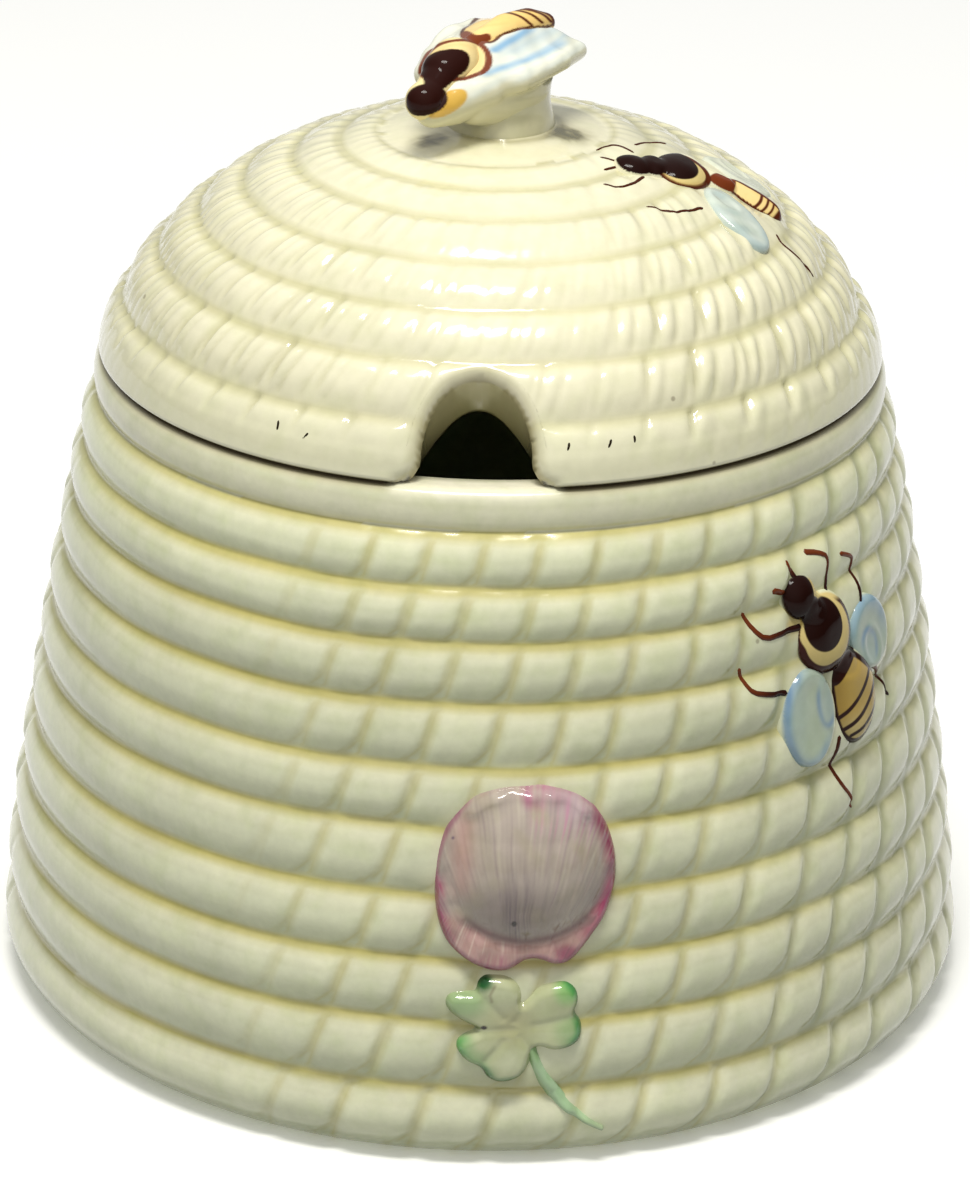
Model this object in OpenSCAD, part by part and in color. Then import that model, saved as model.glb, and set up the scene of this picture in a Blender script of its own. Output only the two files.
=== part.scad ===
// Honey pot in the form of a straw beehive: a ribbed pot, a loose domed lid
// with a spoon notch, a bee as the knob, and bees and a clover in relief.
// Millimetres, +Z up, origin at the centre of the foot. Front is -Y.

/* [Pot] */
// Radius of the foot where it meets the table
foot_r = 52; // [50:0.5:53]
// Height of the pot from the table to its rim
pot_h = 73.8; // [73:0.1:73.9]
// Thickness of the pot wall
wall_t = 4.4; // [3.5:0.1:5]
// Thickness of the floor above the table, foot ring included
floor_t = 6; // [5:0.5:8]
// How far each coil of the pot stands out from its valleys
pot_bulge = 1.1; // [0.6:0.1:1.4]

/* [Lid] */
// Gap between the lid's seat and the rim of the pot
seat_gap = 0.2; // [0.1:0.05:0.4]
// Outer radius of the locating flange under the lid
flange_r = 38.6; // [37:0.1:38.9]
// How far the flange reaches down into the mouth
flange_drop = 4.6; // [3:0.2:6]
// Thickness of the dome
lid_t = 4.4; // [3.6:0.1:5]
// How far each coil of the lid stands out from its valleys
lid_bulge = 0.8; // [0.4:0.1:1]

/* [Spoon notch] */
// Direction of the notch, in degrees, where -90 is straight to the front
notch_az = -91.7; // [-100:0.1:-80]
// Half width of the notch between its straight sides
notch_w = 6.2; // [5:0.1:7.5]
// Height of the arch above the seam, along the cut
notch_h = 10.4; // [8:0.2:11]

/* [Knob] */
// Height of the top of the knob above the table
knob_top = 112.6; // [112:0.1:113]
// Radius of the knob's stem at its narrowest
stem_r = 4.9; // [4:0.1:5.5]

/* [Relief] */
// Height of the clover flower above the wall
flower_h = 4.4; // [3:0.1:5]
// Radius of the clover flower
flower_r = 9.7; // [9:0.1:10]
// Height of the leaf above the wall
leaf_h = 1.2; // [0.8:0.1:1.6]
// Thickness of the bees' wings above the wall
wing_h = 0.9; // [0.6:0.1:1.2]
// Thickness of the clover's stem
stem_t = 1.9; // [1.4:0.1:2.2]

/* [Hidden] */
$fn = 96;
cream = [0.93, 0.92, 0.78];
wing_blue = [0.72, 0.82, 0.88];
bee_brown = [0.24, 0.13, 0.09];
mauve = [0.74, 0.62, 0.66];
leaf_green = [0.62, 0.75, 0.52];

// ---- profile rules ----
// valley radius of the pot at a height
function wall_r(z) = foot_r + 3.4 - 0.085 * z - 0.00115 * z * z;
// height of the pot's valley i, from the foot up
function valley_z(i) = 9.3 + 7.5 * i - 0.09 * i * i;
// outline of one coil between two valleys, leaving out its last point
function coil(p, q, h, n = 6) = let (v = q - p, out = [v[1], -v[0]] / norm(v))
    [for (k = [0 : n - 1]) p + v * k / n + out * h * pow(sin(180 * k / n), 0.7)];
function flat(v) = [for (a = v) for (b = a) b];

// the dome is an ellipse about a centre below the seam
dome_c = 66;
dome_a = 34.2;
dome_b = 44.7;
function dome_p(phi) = [dome_b * cos(phi), dome_c + dome_a * sin(phi)];
// angle up the dome of the lid's valley i, from the seam up
function dome_phi(i) = 13.5 + 10.9 * i - 0.33 * i * i;
seat_z = pot_h + seat_gap;

// ---- placing ----
// x along the wall to the right, y up, z out of the wall
module on_wall(az, z, r) translate([0, 0, z]) rotate([0, 0, az]) translate([r, 0, 0]) rotate([90, 0, 90]) children();
module ball(p, r, fn = 96) translate(p) sphere(r, $fn = fn);
// straight round bar from p to q
module rod(p, q, r1, r2) {
    v = q - p;
    translate(p) rotate([0, acos(v[2] / norm(v)), atan2(v[1], v[0])]) cylinder(h = norm(v), r1 = r1, r2 = r2);
}
// spindle along +Z from 0 to len, widest at its middle
module spindle(len, r) rotate_extrude() polygon([[0, 0],
    for (k = [1 : 9]) [r * pow(sin(18 * k), 0.75), len * k / 10], [0, len]]);
module spindle_to(p, q, r) {
    v = q - p;
    translate(p) rotate([0, acos(v[2] / norm(v)), atan2(v[1], v[0])]) spindle(norm(v), r);
}
module ellipse_plate(a, b, h) linear_extrude(h) polygon([for (k = [0 : 39]) [a * cos(9 * k), b * sin(9 * k)]]);

// solid just under the pot's surface, to seat the relief on
module pot_core() rotate_extrude() polygon([[0, 2], [foot_r - 1.6, 2], [foot_r + 1.4, 5],
    for (i = [0 : 9]) [wall_r(valley_z(i)) - 0.5, valley_z(i)], [0, valley_z(9)]]);
// one plain cone just under the pot's surface behind the bee
module bee_core() translate([0, 0, 36]) cylinder(h = 26, r1 = wall_r(36) - 0.6, r2 = wall_r(62) - 0.6);
// solid just under the dome's surface
module lid_core() rotate_extrude() polygon([[0, seat_z],
    for (i = [0 : 7]) dome_p(dome_phi(i)) - [0.5, 0.3], [8, 98.9], [0, 99.4]]);

// ---- pot ----
module pot_body() color(cream) {
    outer = flat([
        [[foot_r, 0], [foot_r + 1.6, 1], [foot_r + 3.1, 3], [foot_r + 3.8, 5], [foot_r + 3.5, 7.4]],
        for (i = [0 : 8]) coil([wall_r(valley_z(i)), valley_z(i)], [wall_r(valley_z(i + 1)), valley_z(i + 1)], pot_bulge),
        [[wall_r(valley_z(9)), valley_z(9)], [44.3, pot_h - 2.7], [44.1, pot_h - 1.5], [43.5, pot_h - 0.5], [42.6, pot_h]]]);
    inner = [[40.4, pot_h], [39.7, pot_h - 0.6], [39.5, pot_h - 1.6], [39.5, 67],
        for (z = [58, 48, 38, 28, 18]) [wall_r(z) - wall_t, z], [48.6, floor_t + 4.5], [46.4, floor_t + 1.3], [43, floor_t], [0, floor_t]];
    under = [[0, 1.6], [foot_r - 4.6, 1.6], [foot_r - 3.8, 0]];
    rotate_extrude($fn = 128) polygon(concat(outer, inner, under));
}

// ---- bee on the pot ----
bee_az = -41.3;
bee_z = 49.5;
bee_r = 48.4;
module pot_bee_body() color(bee_brown) difference() {
    on_wall(bee_az, bee_z, bee_r) {
        // head
        hull() {
            ball([-3.3, 8.7, 1.0], 1.6, 28);
            ball([-2.0, 6.6, 1.0], 1.3, 28);
        }
        // thorax
        hull() {
            ball([-0.9, 4.6, 1.0], 2.3, 28);
            ball([0.6, 2.4, 0.8], 2.7, 28);
        }
        // waist and abdomen
        hull() {
            ball([1.8, 0.0, 0.6], 1.3, 28);
            ball([2.6, -3.2, 0.4], 2.3, 28);
            ball([3.0, -6.4, 0.2], 1.5, 28);
            ball([3.0, -8.4, -0.2], 0.7, 28);
        }
    }
    bee_core();
}
module pot_bee_wing_left() color(wing_blue) difference() {
    on_wall(bee_az, bee_z, bee_r - 2) translate([-2.6, -4.6, 0]) rotate([0, 0, -12]) ellipse_plate(2.8, 5.2, 2.2 + wing_h);
    bee_core();
}
module pot_bee_wing_right() color(wing_blue) difference() {
    on_wall(bee_az, bee_z, bee_r - 3) translate([7.4, 1.6, 0]) rotate([0, 0, 24]) ellipse_plate(2.6, 5.0, 2.7 + wing_h);
    bee_core();
}

// ---- clover on the pot ----
flower_az = -84.5;
flower_z = 33.2;
// radius of a ball whose cap is as wide and as high as the flower
flower_R = (pow(flower_r - 0.7, 2) + flower_h * flower_h) / (2 * flower_h);
module clover_flower() color(mauve) difference() {
    on_wall(flower_az, flower_z, 0) {
        intersection() {
            translate([0, 0.3, 52.4 + flower_h - flower_R]) sphere(flower_R);
            translate([0, 0, 44]) cylinder(h = 20, r = flower_r);
        }
        translate([0, 0, 46]) cylinder(h = 7.2, r = flower_r);
        translate([0, -1.2, 46]) cylinder(h = 7.5, r = flower_r - 0.9);
    }
    pot_core();
}
leaf_az = -85.6;
leaf_z = 15.6;
module lobe(p, r) translate([p[0], p[1], 46]) cylinder(h = 8.9 + leaf_h, r = r);
module clover_leaf() color(leaf_green) difference() {
    on_wall(leaf_az, leaf_z, 0) {
        lobe([0, 0], 2.6);
        for (p = [[-4.6, 2.0], [-2.0, 3.4], [-3.6, -2.2], [-0.8, -3.6], [3.6, 2.4], [4.6, -0.6]]) lobe(p, 2.4);
    }
    pot_core();
}
module clover_stem() color(leaf_green) difference() {
    // an arc that drops from the leaf and curls to the right
    on_wall(leaf_az, 0, 55.1) translate([18.2, 17.2, 0]) rotate([0, 0, 188.8])
        rotate_extrude(angle = 46) translate([16.6, 0]) circle(stem_t / 2, $fn = 48);
    pot_core();
}

// ---- lid ----
// arch of the notch, with its corners flared into the seam
module notch_shape() polygon(concat(
    [for (a = [0 : 6 : 180]) [notch_w * cos(a), notch_h * sin(a)]],
    [for (a = [0 : 15 : 90]) [-notch_w - 1.9 * (1 - cos(a)), -1.9 * sin(a)]],
    [[-notch_w - 1.9, -20], [notch_w + 1.9, -20]],
    [for (a = [90 : -15 : 0]) [notch_w + 1.9 * (1 - cos(a)), -1.9 * sin(a)]]));
module notch_cutter() rotate([0, 0, notch_az])
    translate([42.6, 0, seat_z + 1.6]) rotate([0, 50, 0]) rotate([0, 0, 90])
    translate([0, 0, -16]) linear_extrude(32) notch_shape();
module lid_shell() color(cream) difference() {
    rotate_extrude($fn = 128) polygon(concat(
        [[flange_r, seat_z - flange_drop + 0.8], [flange_r, seat_z], [42.7, seat_z], [43.4, seat_z + 0.5]],
        flat([for (i = [0 : 6]) coil(dome_p(dome_phi(i)) + (i == 0 ? [0, 0.9] : [0, 0]), dome_p(dome_phi(i + 1)), lid_bulge * (1 - 0.07 * i))]),
        [dome_p(dome_phi(7)), [10.4, 99.7], [6, 100.3], [0, 100.6]],
        [for (a = [90 : -8 : 34]) [(dome_b - lid_t) * cos(a), dome_c + (dome_a - lid_t) * sin(a)]],
        [[flange_r - 2.8, seat_z + 5.6], [flange_r - 2.8, seat_z - flange_drop + 0.6],
         [flange_r - 2.2, seat_z - flange_drop], [flange_r - 0.8, seat_z - flange_drop]]));
    notch_cutter();
}

// ---- knob ----
module knob_stem() color(cream) difference() {
    translate([0.9, -0.3, 96]) rotate_extrude() polygon([[0, 0], [6.6, 0], [6.4, 3.6], [5.7, 4.8], [stem_r + 0.1, 6.4],
        [stem_r, 7.6], [stem_r + 0.3, 9], [0, 9]]);
    translate([0, 0, 95]) cylinder(h = 3.2, r = 20);
}
module knob_bee_base() color(cream) {
    // middle of the slab, from under the head to under the tail
    hull() {
        ball([-6.4, -8.6, 105.0], 3.6, 32);
        ball([-1.6, -2.6, 106.4], 4.4, 32);
        ball([4.6, 4.6, 107.2], 2.8, 32);
    }
    // near wing
    hull() {
        ball([-2.6, -5.6, 106.2], 2.6, 32);
        ball([4.6, -1.6, 106.2], 2.0, 32);
        ball([9.0, 4.6, 106.4], 1.5, 32);
        ball([3.6, 3.6, 106.6], 2.2, 32);
    }
    // far wing
    hull() {
        ball([-5.2, -4.0, 106.2], 2.6, 32);
        ball([-6.6, 4.2, 106.0], 1.9, 32);
        ball([-3.6, 9.2, 106.4], 1.4, 32);
        ball([1.6, 4.8, 106.6], 2.2, 32);
    }
}
module knob_bee_body() color(bee_brown) {
    ball([-7.6, -10.0, 105.7], 2.4);
    ball([-5.0, -7.1, 108.2], 2.8);
    ball([-3.3, -4.6, 109.0], 2.5);
    spindle_to([-2.7, -3.9, 109.4], [7.6, 7.0, 108.6], knob_top - 109.45);
}

// ---- bee on the lid ----
module lid_bee_body() color(bee_brown) difference() {
    union() {
        // head
        hull() {
            ball([14.9, -9.4, 97.8], 2.0, 28);
            ball([17.2, -7.9, 97.4], 1.6, 28);
        }
        // thorax
        hull() {
            ball([19.6, -6.6, 96.7], 2.4, 28);
            ball([22.0, -5.4, 95.8], 2.5, 28);
        }
        // waist and abdomen
        hull() {
            ball([24.6, -4.7, 95.0], 1.3, 28);
            ball([27.4, -5.4, 93.2], 2.3, 28);
            ball([30.0, -7.0, 91.3], 1.5, 28);
            ball([31.4, -8.2, 90.0], 0.8, 28);
        }
    }
    lid_core();
}
module lid_wing(a, b, c, d) hull() for (p = [a, b, c, d]) ball(p, 1.1, 24);
module lid_bee_wing_lower() color(wing_blue) difference() {
    lid_wing([23.6, -8.8, 94.4], [26.2, -11.6, 92.6], [29.8, -12.4, 90.2], [29.0, -9.4, 91.6]);
    lid_core();
}
module lid_bee_wing_upper() color(wing_blue) difference() {
    lid_wing([24.0, -1.2, 95.2], [25.0, 2.2, 94.8], [29.6, 2.6, 92.0], [28.6, -1.0, 92.6]);
    lid_core();
}

pot_body();
pot_bee_body();
pot_bee_wing_left();
pot_bee_wing_right();
clover_flower();
clover_leaf();
clover_stem();
lid_shell();
knob_stem();
knob_bee_base();
knob_bee_body();
lid_bee_body();
lid_bee_wing_upper();
lid_bee_wing_lower();
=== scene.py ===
import math
import bpy
import bmesh
import numpy as np
from mathutils import Matrix, Vector


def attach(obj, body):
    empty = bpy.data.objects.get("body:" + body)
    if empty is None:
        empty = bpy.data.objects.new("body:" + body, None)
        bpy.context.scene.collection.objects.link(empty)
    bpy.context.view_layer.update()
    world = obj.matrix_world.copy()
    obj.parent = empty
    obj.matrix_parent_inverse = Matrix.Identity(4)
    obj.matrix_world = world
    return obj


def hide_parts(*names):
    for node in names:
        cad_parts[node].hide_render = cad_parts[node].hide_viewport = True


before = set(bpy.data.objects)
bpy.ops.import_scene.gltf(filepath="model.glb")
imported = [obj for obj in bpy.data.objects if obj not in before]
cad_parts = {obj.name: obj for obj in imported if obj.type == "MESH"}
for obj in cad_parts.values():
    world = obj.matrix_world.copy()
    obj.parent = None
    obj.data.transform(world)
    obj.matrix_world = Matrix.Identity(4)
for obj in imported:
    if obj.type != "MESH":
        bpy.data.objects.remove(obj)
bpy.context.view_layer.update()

MM = 0.001
RAD = math.pi / 180.0


# ------------------------------------------------------------------ helpers
def sm(a, b, x):
    t = np.clip((np.asarray(x, float) - a) / (b - a), 0.0, 1.0)
    return t * t * (3 - 2 * t)


def lin(h):
    """sRGB hex to linear colour"""
    c = np.array([int(h[i:i + 2], 16) / 255.0 for i in (1, 3, 5)])
    return np.where(c <= 0.04045, c / 12.92, ((c + 0.055) / 1.055) ** 2.4)


def mixc(a, b, f):
    f = np.asarray(f, float)[..., None]
    return a * (1 - f) + b * f


def smax(a, b, k):
    h = np.clip(0.5 + 0.5 * (a - b) / k, 0, 1)
    return b * (1 - h) + a * h + k * h * (1 - h)


def noise_table(seed, n):
    return np.random.RandomState(seed).uniform(-1, 1, n)


def wave(az, z, seed):
    """smooth unevenness, periodic in az, about -1..1"""
    r = np.random.RandomState(seed)
    out = 0.0
    for k in (2, 3, 5, 7, 11):
        out = out + np.sin(k * az * RAD + r.uniform(0, 6.28) + z * r.uniform(-0.25, 0.25)) * r.uniform(0.5, 1.0) / k ** 0.5
    return out / 2.0


def make_mesh(name, verts, faces, cols=None, smooth=True):
    me = bpy.data.meshes.new(name)
    me.from_pydata((np.asarray(verts, float) * MM).tolist(), [], faces)
    me.validate(clean_customdata=False)
    me.update()
    if cols is not None:
        at = me.color_attributes.new("Col", "FLOAT_COLOR", "POINT")
        c4 = np.ones((len(me.vertices), 4), np.float32)
        c4[:, :3] = np.asarray(cols)[:len(me.vertices)]
        at.data.foreach_set("color", c4.ravel())
    if smooth:
        me.polygons.foreach_set("use_smooth", np.ones(len(me.polygons), bool))
    ob = bpy.data.objects.new(name, me)
    bpy.context.scene.collection.objects.link(ob)
    return ob


def outward(ob):
    bm = bmesh.new()
    bm.from_mesh(ob.data)
    bmesh.ops.recalc_face_normals(bm, faces=bm.faces)
    bm.to_mesh(ob.data)
    bm.free()
    return ob


class Sheet:
    """rings of vertices stitched into one closed skin"""

    def __init__(self):
        self.v, self.c, self.f, self.n, self.last = [], [], [], 0, None

    def ring(self, pts, cols):
        k = len(pts)
        start = self.n
        self.v.append(np.asarray(pts, float)); self.c.append(np.asarray(cols, float))
        self.n += k
        if self.last is not None:
            s0, k0 = self.last
            if k0 == k:
                for j in range(k):
                    j2 = (j + 1) % k
                    self.f.append((s0 + j, s0 + j2, start + j2, start + j))
            else:
                m = k0 // k
                assert m * k == k0
                for j in range(k):
                    j2 = (j + 1) % k
                    a = [s0 + (j * m + i) % k0 for i in range(m + 1)]
                    h = m // 2
                    for i in range(h):
                        self.f.append((a[i], a[i + 1], start + j))
                    self.f.append((a[h], start + j2, start + j))
                    for i in range(h, m):
                        self.f.append((a[i], a[i + 1], start + j2))
        self.last = (start, k)

    def pole(self, pt, col):
        s0, k0 = self.last
        self.v.append(np.asarray([pt], float)); self.c.append(np.asarray([col], float))
        for j in range(k0):
            self.f.append((s0 + j, s0 + (j + 1) % k0, self.n))
        self.n += 1
        self.last = None

    def build(self, name):
        return outward(make_mesh(name, np.vstack(self.v), self.f, np.vstack(self.c)))


def thin_out(a, m):
    return a[::m]


# ------------------------------------------------------------------ colours
IVORY = lin("#e6e3c6")
IVORY_POT = lin("#e1e3c2")
SHADE = lin("#b2ba97")
OCHRE = lin("#bbae55")
# painted shade: dark brown laid into the seam where the lid meets the pot
SEAM_SHADE = lin("#3f2a12")
CLAY = lin("#cdbf9c")
LIDC = lin("#f0ebcc")
LIDSHADE = lin("#cfcaa3")

# ------------------------------------------------------------------ pot wall
VZ = np.array([0, 9.3, 16.9, 23.8, 30.8, 38.1, 44.6, 51.4, 57.8, 63.5, 69.3, 73.8])
VR = np.array([52, 54.4, 53.6, 52.6, 51.5, 50.2, 49.2, 47.9, 46.7, 45.4, 43.9, 43.5])
SHEAR = 0.336
JIT = noise_table(11, 46)
JIT2 = np.random.RandomState(12).uniform(-1, 1, (12, 46))
HGT = np.random.RandomState(13).uniform(-1, 1, (12, 46))


def pot_centres(i):
    return VZ[i], VZ[i + 1]


# ornament pads: (azimuth, height, half width, half height) in mm
PADS = [(-84.5, 33.2, 10.2, 10.6), (-85.6, 16.2, 7.2, 6.4), (-41.3, 50.0, 8.0, 8.5)]


def pot_wall(az, z, cells=1.0, colour=False):
    """radius of the glazed wall at azimuth az (deg) and height z (mm)"""
    az, z = np.broadcast_arrays(np.asarray(az, float), np.asarray(z, float))
    edge = sm(3, 8, z) * (1 - sm(66, 69.5, z))
    zw = z + edge * (0.16 * wave(az, z, 3) + 0.07 * np.sin(13 * az * RAD + z * 0.9))
    i = np.clip(np.searchsorted(VZ, zw, side="right") - 1, 0, 10)
    L = VZ[i + 1] - VZ[i]
    t = np.clip((zw - VZ[i]) / L, 0, 1)
    chord = VR[i] + (VR[i + 1] - VR[i]) * t
    tg = t ** 1.12
    q = np.abs(2 * tg - 1)
    body = np.where(tg > 0.5, 1 - q ** 2.5, 1 - q ** 2.1)
    H = 1.2 + 0.08 * wave(az, z, 5)
    h = H * body
    h = np.sqrt(h * h + 0.16 ** 2) - 0.06
    # bottom coil and collar have profiles of their own
    base = np.interp(z, [0, 0.35, 1.2, 2.6, 4.2, 5.6, 7.0, 8.2, 9.3], [52.0, 52.7, 53.7, 54.9, 55.6, 55.75, 55.5, 55.0, 54.4])
    collar = np.interp(zw, [69.3, 69.9, 70.7, 71.6, 72.4, 73.0, 73.4, 73.65, 73.8], [43.9, 44.25, 44.42, 44.42, 44.28, 44.05, 43.75, 43.35, 42.9])
    # stitches
    p = (az - (-68 + SHEAR * (z - 16.9))) / (360.0 / 46)
    p0 = (az - (-69.7 + SHEAR * (z - 9.3))) / (360.0 / 42)
    p = np.where(i == 0, p0, p)
    nn = np.where(i == 0, 42, 46)
    k = np.floor(p).astype(int)
    ja = 0.055 * JIT[k % nn] + 0.075 * JIT2[i, k % nn]
    jb = 0.055 * JIT[(k + 1) % nn] + 0.075 * JIT2[i, (k + 1) % nn]
    f0 = p - k
    w = f0 * f0 * (3 - 2 * f0)
    fj = f0 - (ja * (1 - w) + jb * w)
    kk = k + np.floor(fj).astype(int)
    f = fj - np.floor(fj)
    W = np.where(i == 0, 2 * math.pi * 55 / 42, 2 * math.pi * chord / 46)
    x = (f - 0.5) * W
    y = (t - 0.5) * L
    rr = 2.7
    yy = np.clip(-0.4 - y, 0, rr * 0.97)
    corner = rr - np.sqrt(rr * rr - yy * yy)
    dR = 0.5 * W - 0.28 - x - corner
    dL = x + 0.5 * W - 0.28
    sR = sm(-0.35, 0.95, dR)
    sL = sm(-0.35, 1.45, dL)
    M = sR * sL
    back = np.mod(az + 360, 360)
    fade = sm(-127, -112, np.where(back > 186, back - 360, back + 0.0))
    azn = np.mod(az + 180, 360) - 180
    front_left = (azn < -100) & (azn > -180)
    fade = np.where(front_left, np.maximum(sm(-124, -106, azn), sm(-166, -178, azn)), 1.0)
    fade = fade * cells * (i < 10)
    soft = np.array([0.62, 1, 1, 1, 1, 0.95, 0.9, 0.85, 0.72, 0.62, 0])[i] * (0.84 + 0.16 * np.maximum(sm(-84, -48, azn), sm(60, 20, azn) * (azn > 0)))
    depth = (0.58 + 0.16 * HGT[i, kk % nn]) * soft
    crease = 0.045 * np.exp(-((dR - 1.55) / 0.32) ** 2) * sm(0.6, -1.2, y) * sm(0, 0.6, dL)
    cell_h = 1.0 + 0.10 * HGT[(i + 3) % 12, kk % nn]
    hc = h * (cell_h * (1 - depth * (1 - M)) - crease)
    h = h * (1 - fade) + hc * fade
    # fill round the relief
    fill = 0.0
    for a0, z0, ax, bz in PADS:
        dx = (np.mod(az - a0 + 180, 360) - 180) * RAD * 53.0
        dy = z - z0
        d = (np.sqrt((dx / ax) ** 2 + (dy / bz) ** 2) - 1) * min(ax, bz)
        fill = np.maximum(fill, np.exp(-(np.maximum(d, 0) / 1.3) ** 2))
    h = h + (0.95 - h) * 0.55 * fill * (i > 0)
    r = chord + h
    bcell = -fade * 0.55 * (1 - M) * sm(1.0, 3.0, z) * (1 - sm(8.7, 9.3, z)) - fade * crease * 0.8
    r = np.where(i == 0, base + bcell + 0.10 * wave(az, z, 5) * sm(1, 4, z), r)
    r = np.where(i == 10, collar, r)
    if not colour:
        return r
    # pooled glaze: on the ledge just under each valley, and in the channels
    up = t * L
    dn = (1 - t) * L
    ring = np.exp(-(np.maximum(dn - 0.28 - 0.10 * wave(az, z, 14), 0) / 0.60) ** 2) * (i < 10)
    ring = np.maximum(ring, np.exp(-(up / 0.42) ** 2) * (i > 0))
    lfac = 0.80 + 0.20 * sm(-50, -75, azn) + 0.10 * wave(az, z, 8)
    chan = np.exp(-(np.minimum(np.abs(dR), np.abs(dL)) / 0.5) ** 2) * (1 - M)
    chan = chan * fade * (0.42 + 0.16 * sm(-50, -70, azn)) * sm(0.02, 0.25, 1 - M)
    pool = np.clip(ring * lfac * 0.9, 0, 1)
    pool = np.maximum(pool, chan)
    pool = np.maximum(pool, 0.45 * fill * (1 - sm(0.3, 0.95, h / 1.2)) * (i > 0))
    shade = sm(0.46, 0.04, t) * (0.74 + 0.10 * wave(az, z, 9)) * (i < 10) + 0.34 * (1 - M) * fade + 0.13 * HGT[(i + 5) % 12, kk % nn] * fade + 0.16 * sm(-70, 0, azn) * sm(90, 30, azn) * sm(0.62, 0.2, t)
    col = mixc(IVORY_POT, SHADE, np.clip(shade, 0, 1) * 0.6)
    # painted light: the upper part of each coil made paler, as if lit from above
    top = sm(0.55, 0.8, t) * sm(0.98, 0.88, t) * (i < 10)
    col = mixc(col, IVORY * 1.03, top * 0.55)
    col = mixc(col, OCHRE, pool * (0.88 - 0.34 * sm(-58, -30, azn) * sm(40, 0, azn)))
    # painted light: the collar made paler, as if more brightly lit
    col = mixc(col, IVORY * 1.04, (i == 10) * 0.8)
    low = np.exp(-(np.maximum(z - 69.3, 0) / 1.1) ** 2) * (i == 10)
    open_ = sm(13.0, 10.5, np.abs(np.mod(az + 91.7 + 180, 360) - 180))
    col = mixc(col, SHADE, (i == 10) * (0.04 + 0.16 * sm(71.5, 73.2, z)))
    # a brownish band on the collar just under the lid's edge and the dark seam line above it, both painted shade, left
    # out where the notch shows the rim
    col = mixc(col, lin("#a98f52"), sm(72.8, 73.6, z) * 0.40 * (1 - open_))
    # painted highlight: the rim's outer edge made pale where the notch shows it
    col = mixc(col, lin("#f4efd6"), sm(72.4, 73.3, z) * open_ * 0.8)
    seam_shade = sm(73.35, 73.72, z) * (1 - open_)
    col = mixc(col, SEAM_SHADE, seam_shade * 0.85)
    # painted shade: the channels between cells darker olive on the right side
    col = mixc(col, lin("#8d966c"), (1 - M) * fade * 0.42 * sm(-66, -36, azn) * sm(100, 30, azn) * (i < 10))
    col = mixc(col, SHADE, 0.26 * np.maximum(sm(-130, -168, azn) * (azn < 0), sm(50, 90, azn)) * (i < 10))
    # painted light: the upper coils all round, and the bottom coil's lower part, made brighter
    col = col * (1 + 0.11 * sm(54, 66, z) * (i < 10) + 0.10 * (i == 0) * sm(8.6, 6.5, z))[..., None]
    # a touch of ochre on the wall under the bee's head
    bx, by = (np.mod(az + 41.3 + 180, 360) - 180) * RAD * 49.4, z - 49.5
    col = mixc(col, lin("#cdb262"), 0.75 * sm(1.25, 0.55, np.sqrt(((bx + 4.4) / 1.5) ** 2 + ((by - 5.8) / 1.2) ** 2)))
    return r, col


def pot_point(az, z, off=0.0, cells=1.0):
    r = pot_wall(az, z, cells) + off
    return np.stack([r * np.cos(az * RAD), r * np.sin(az * RAD), z + 0 * r], -1)


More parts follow.
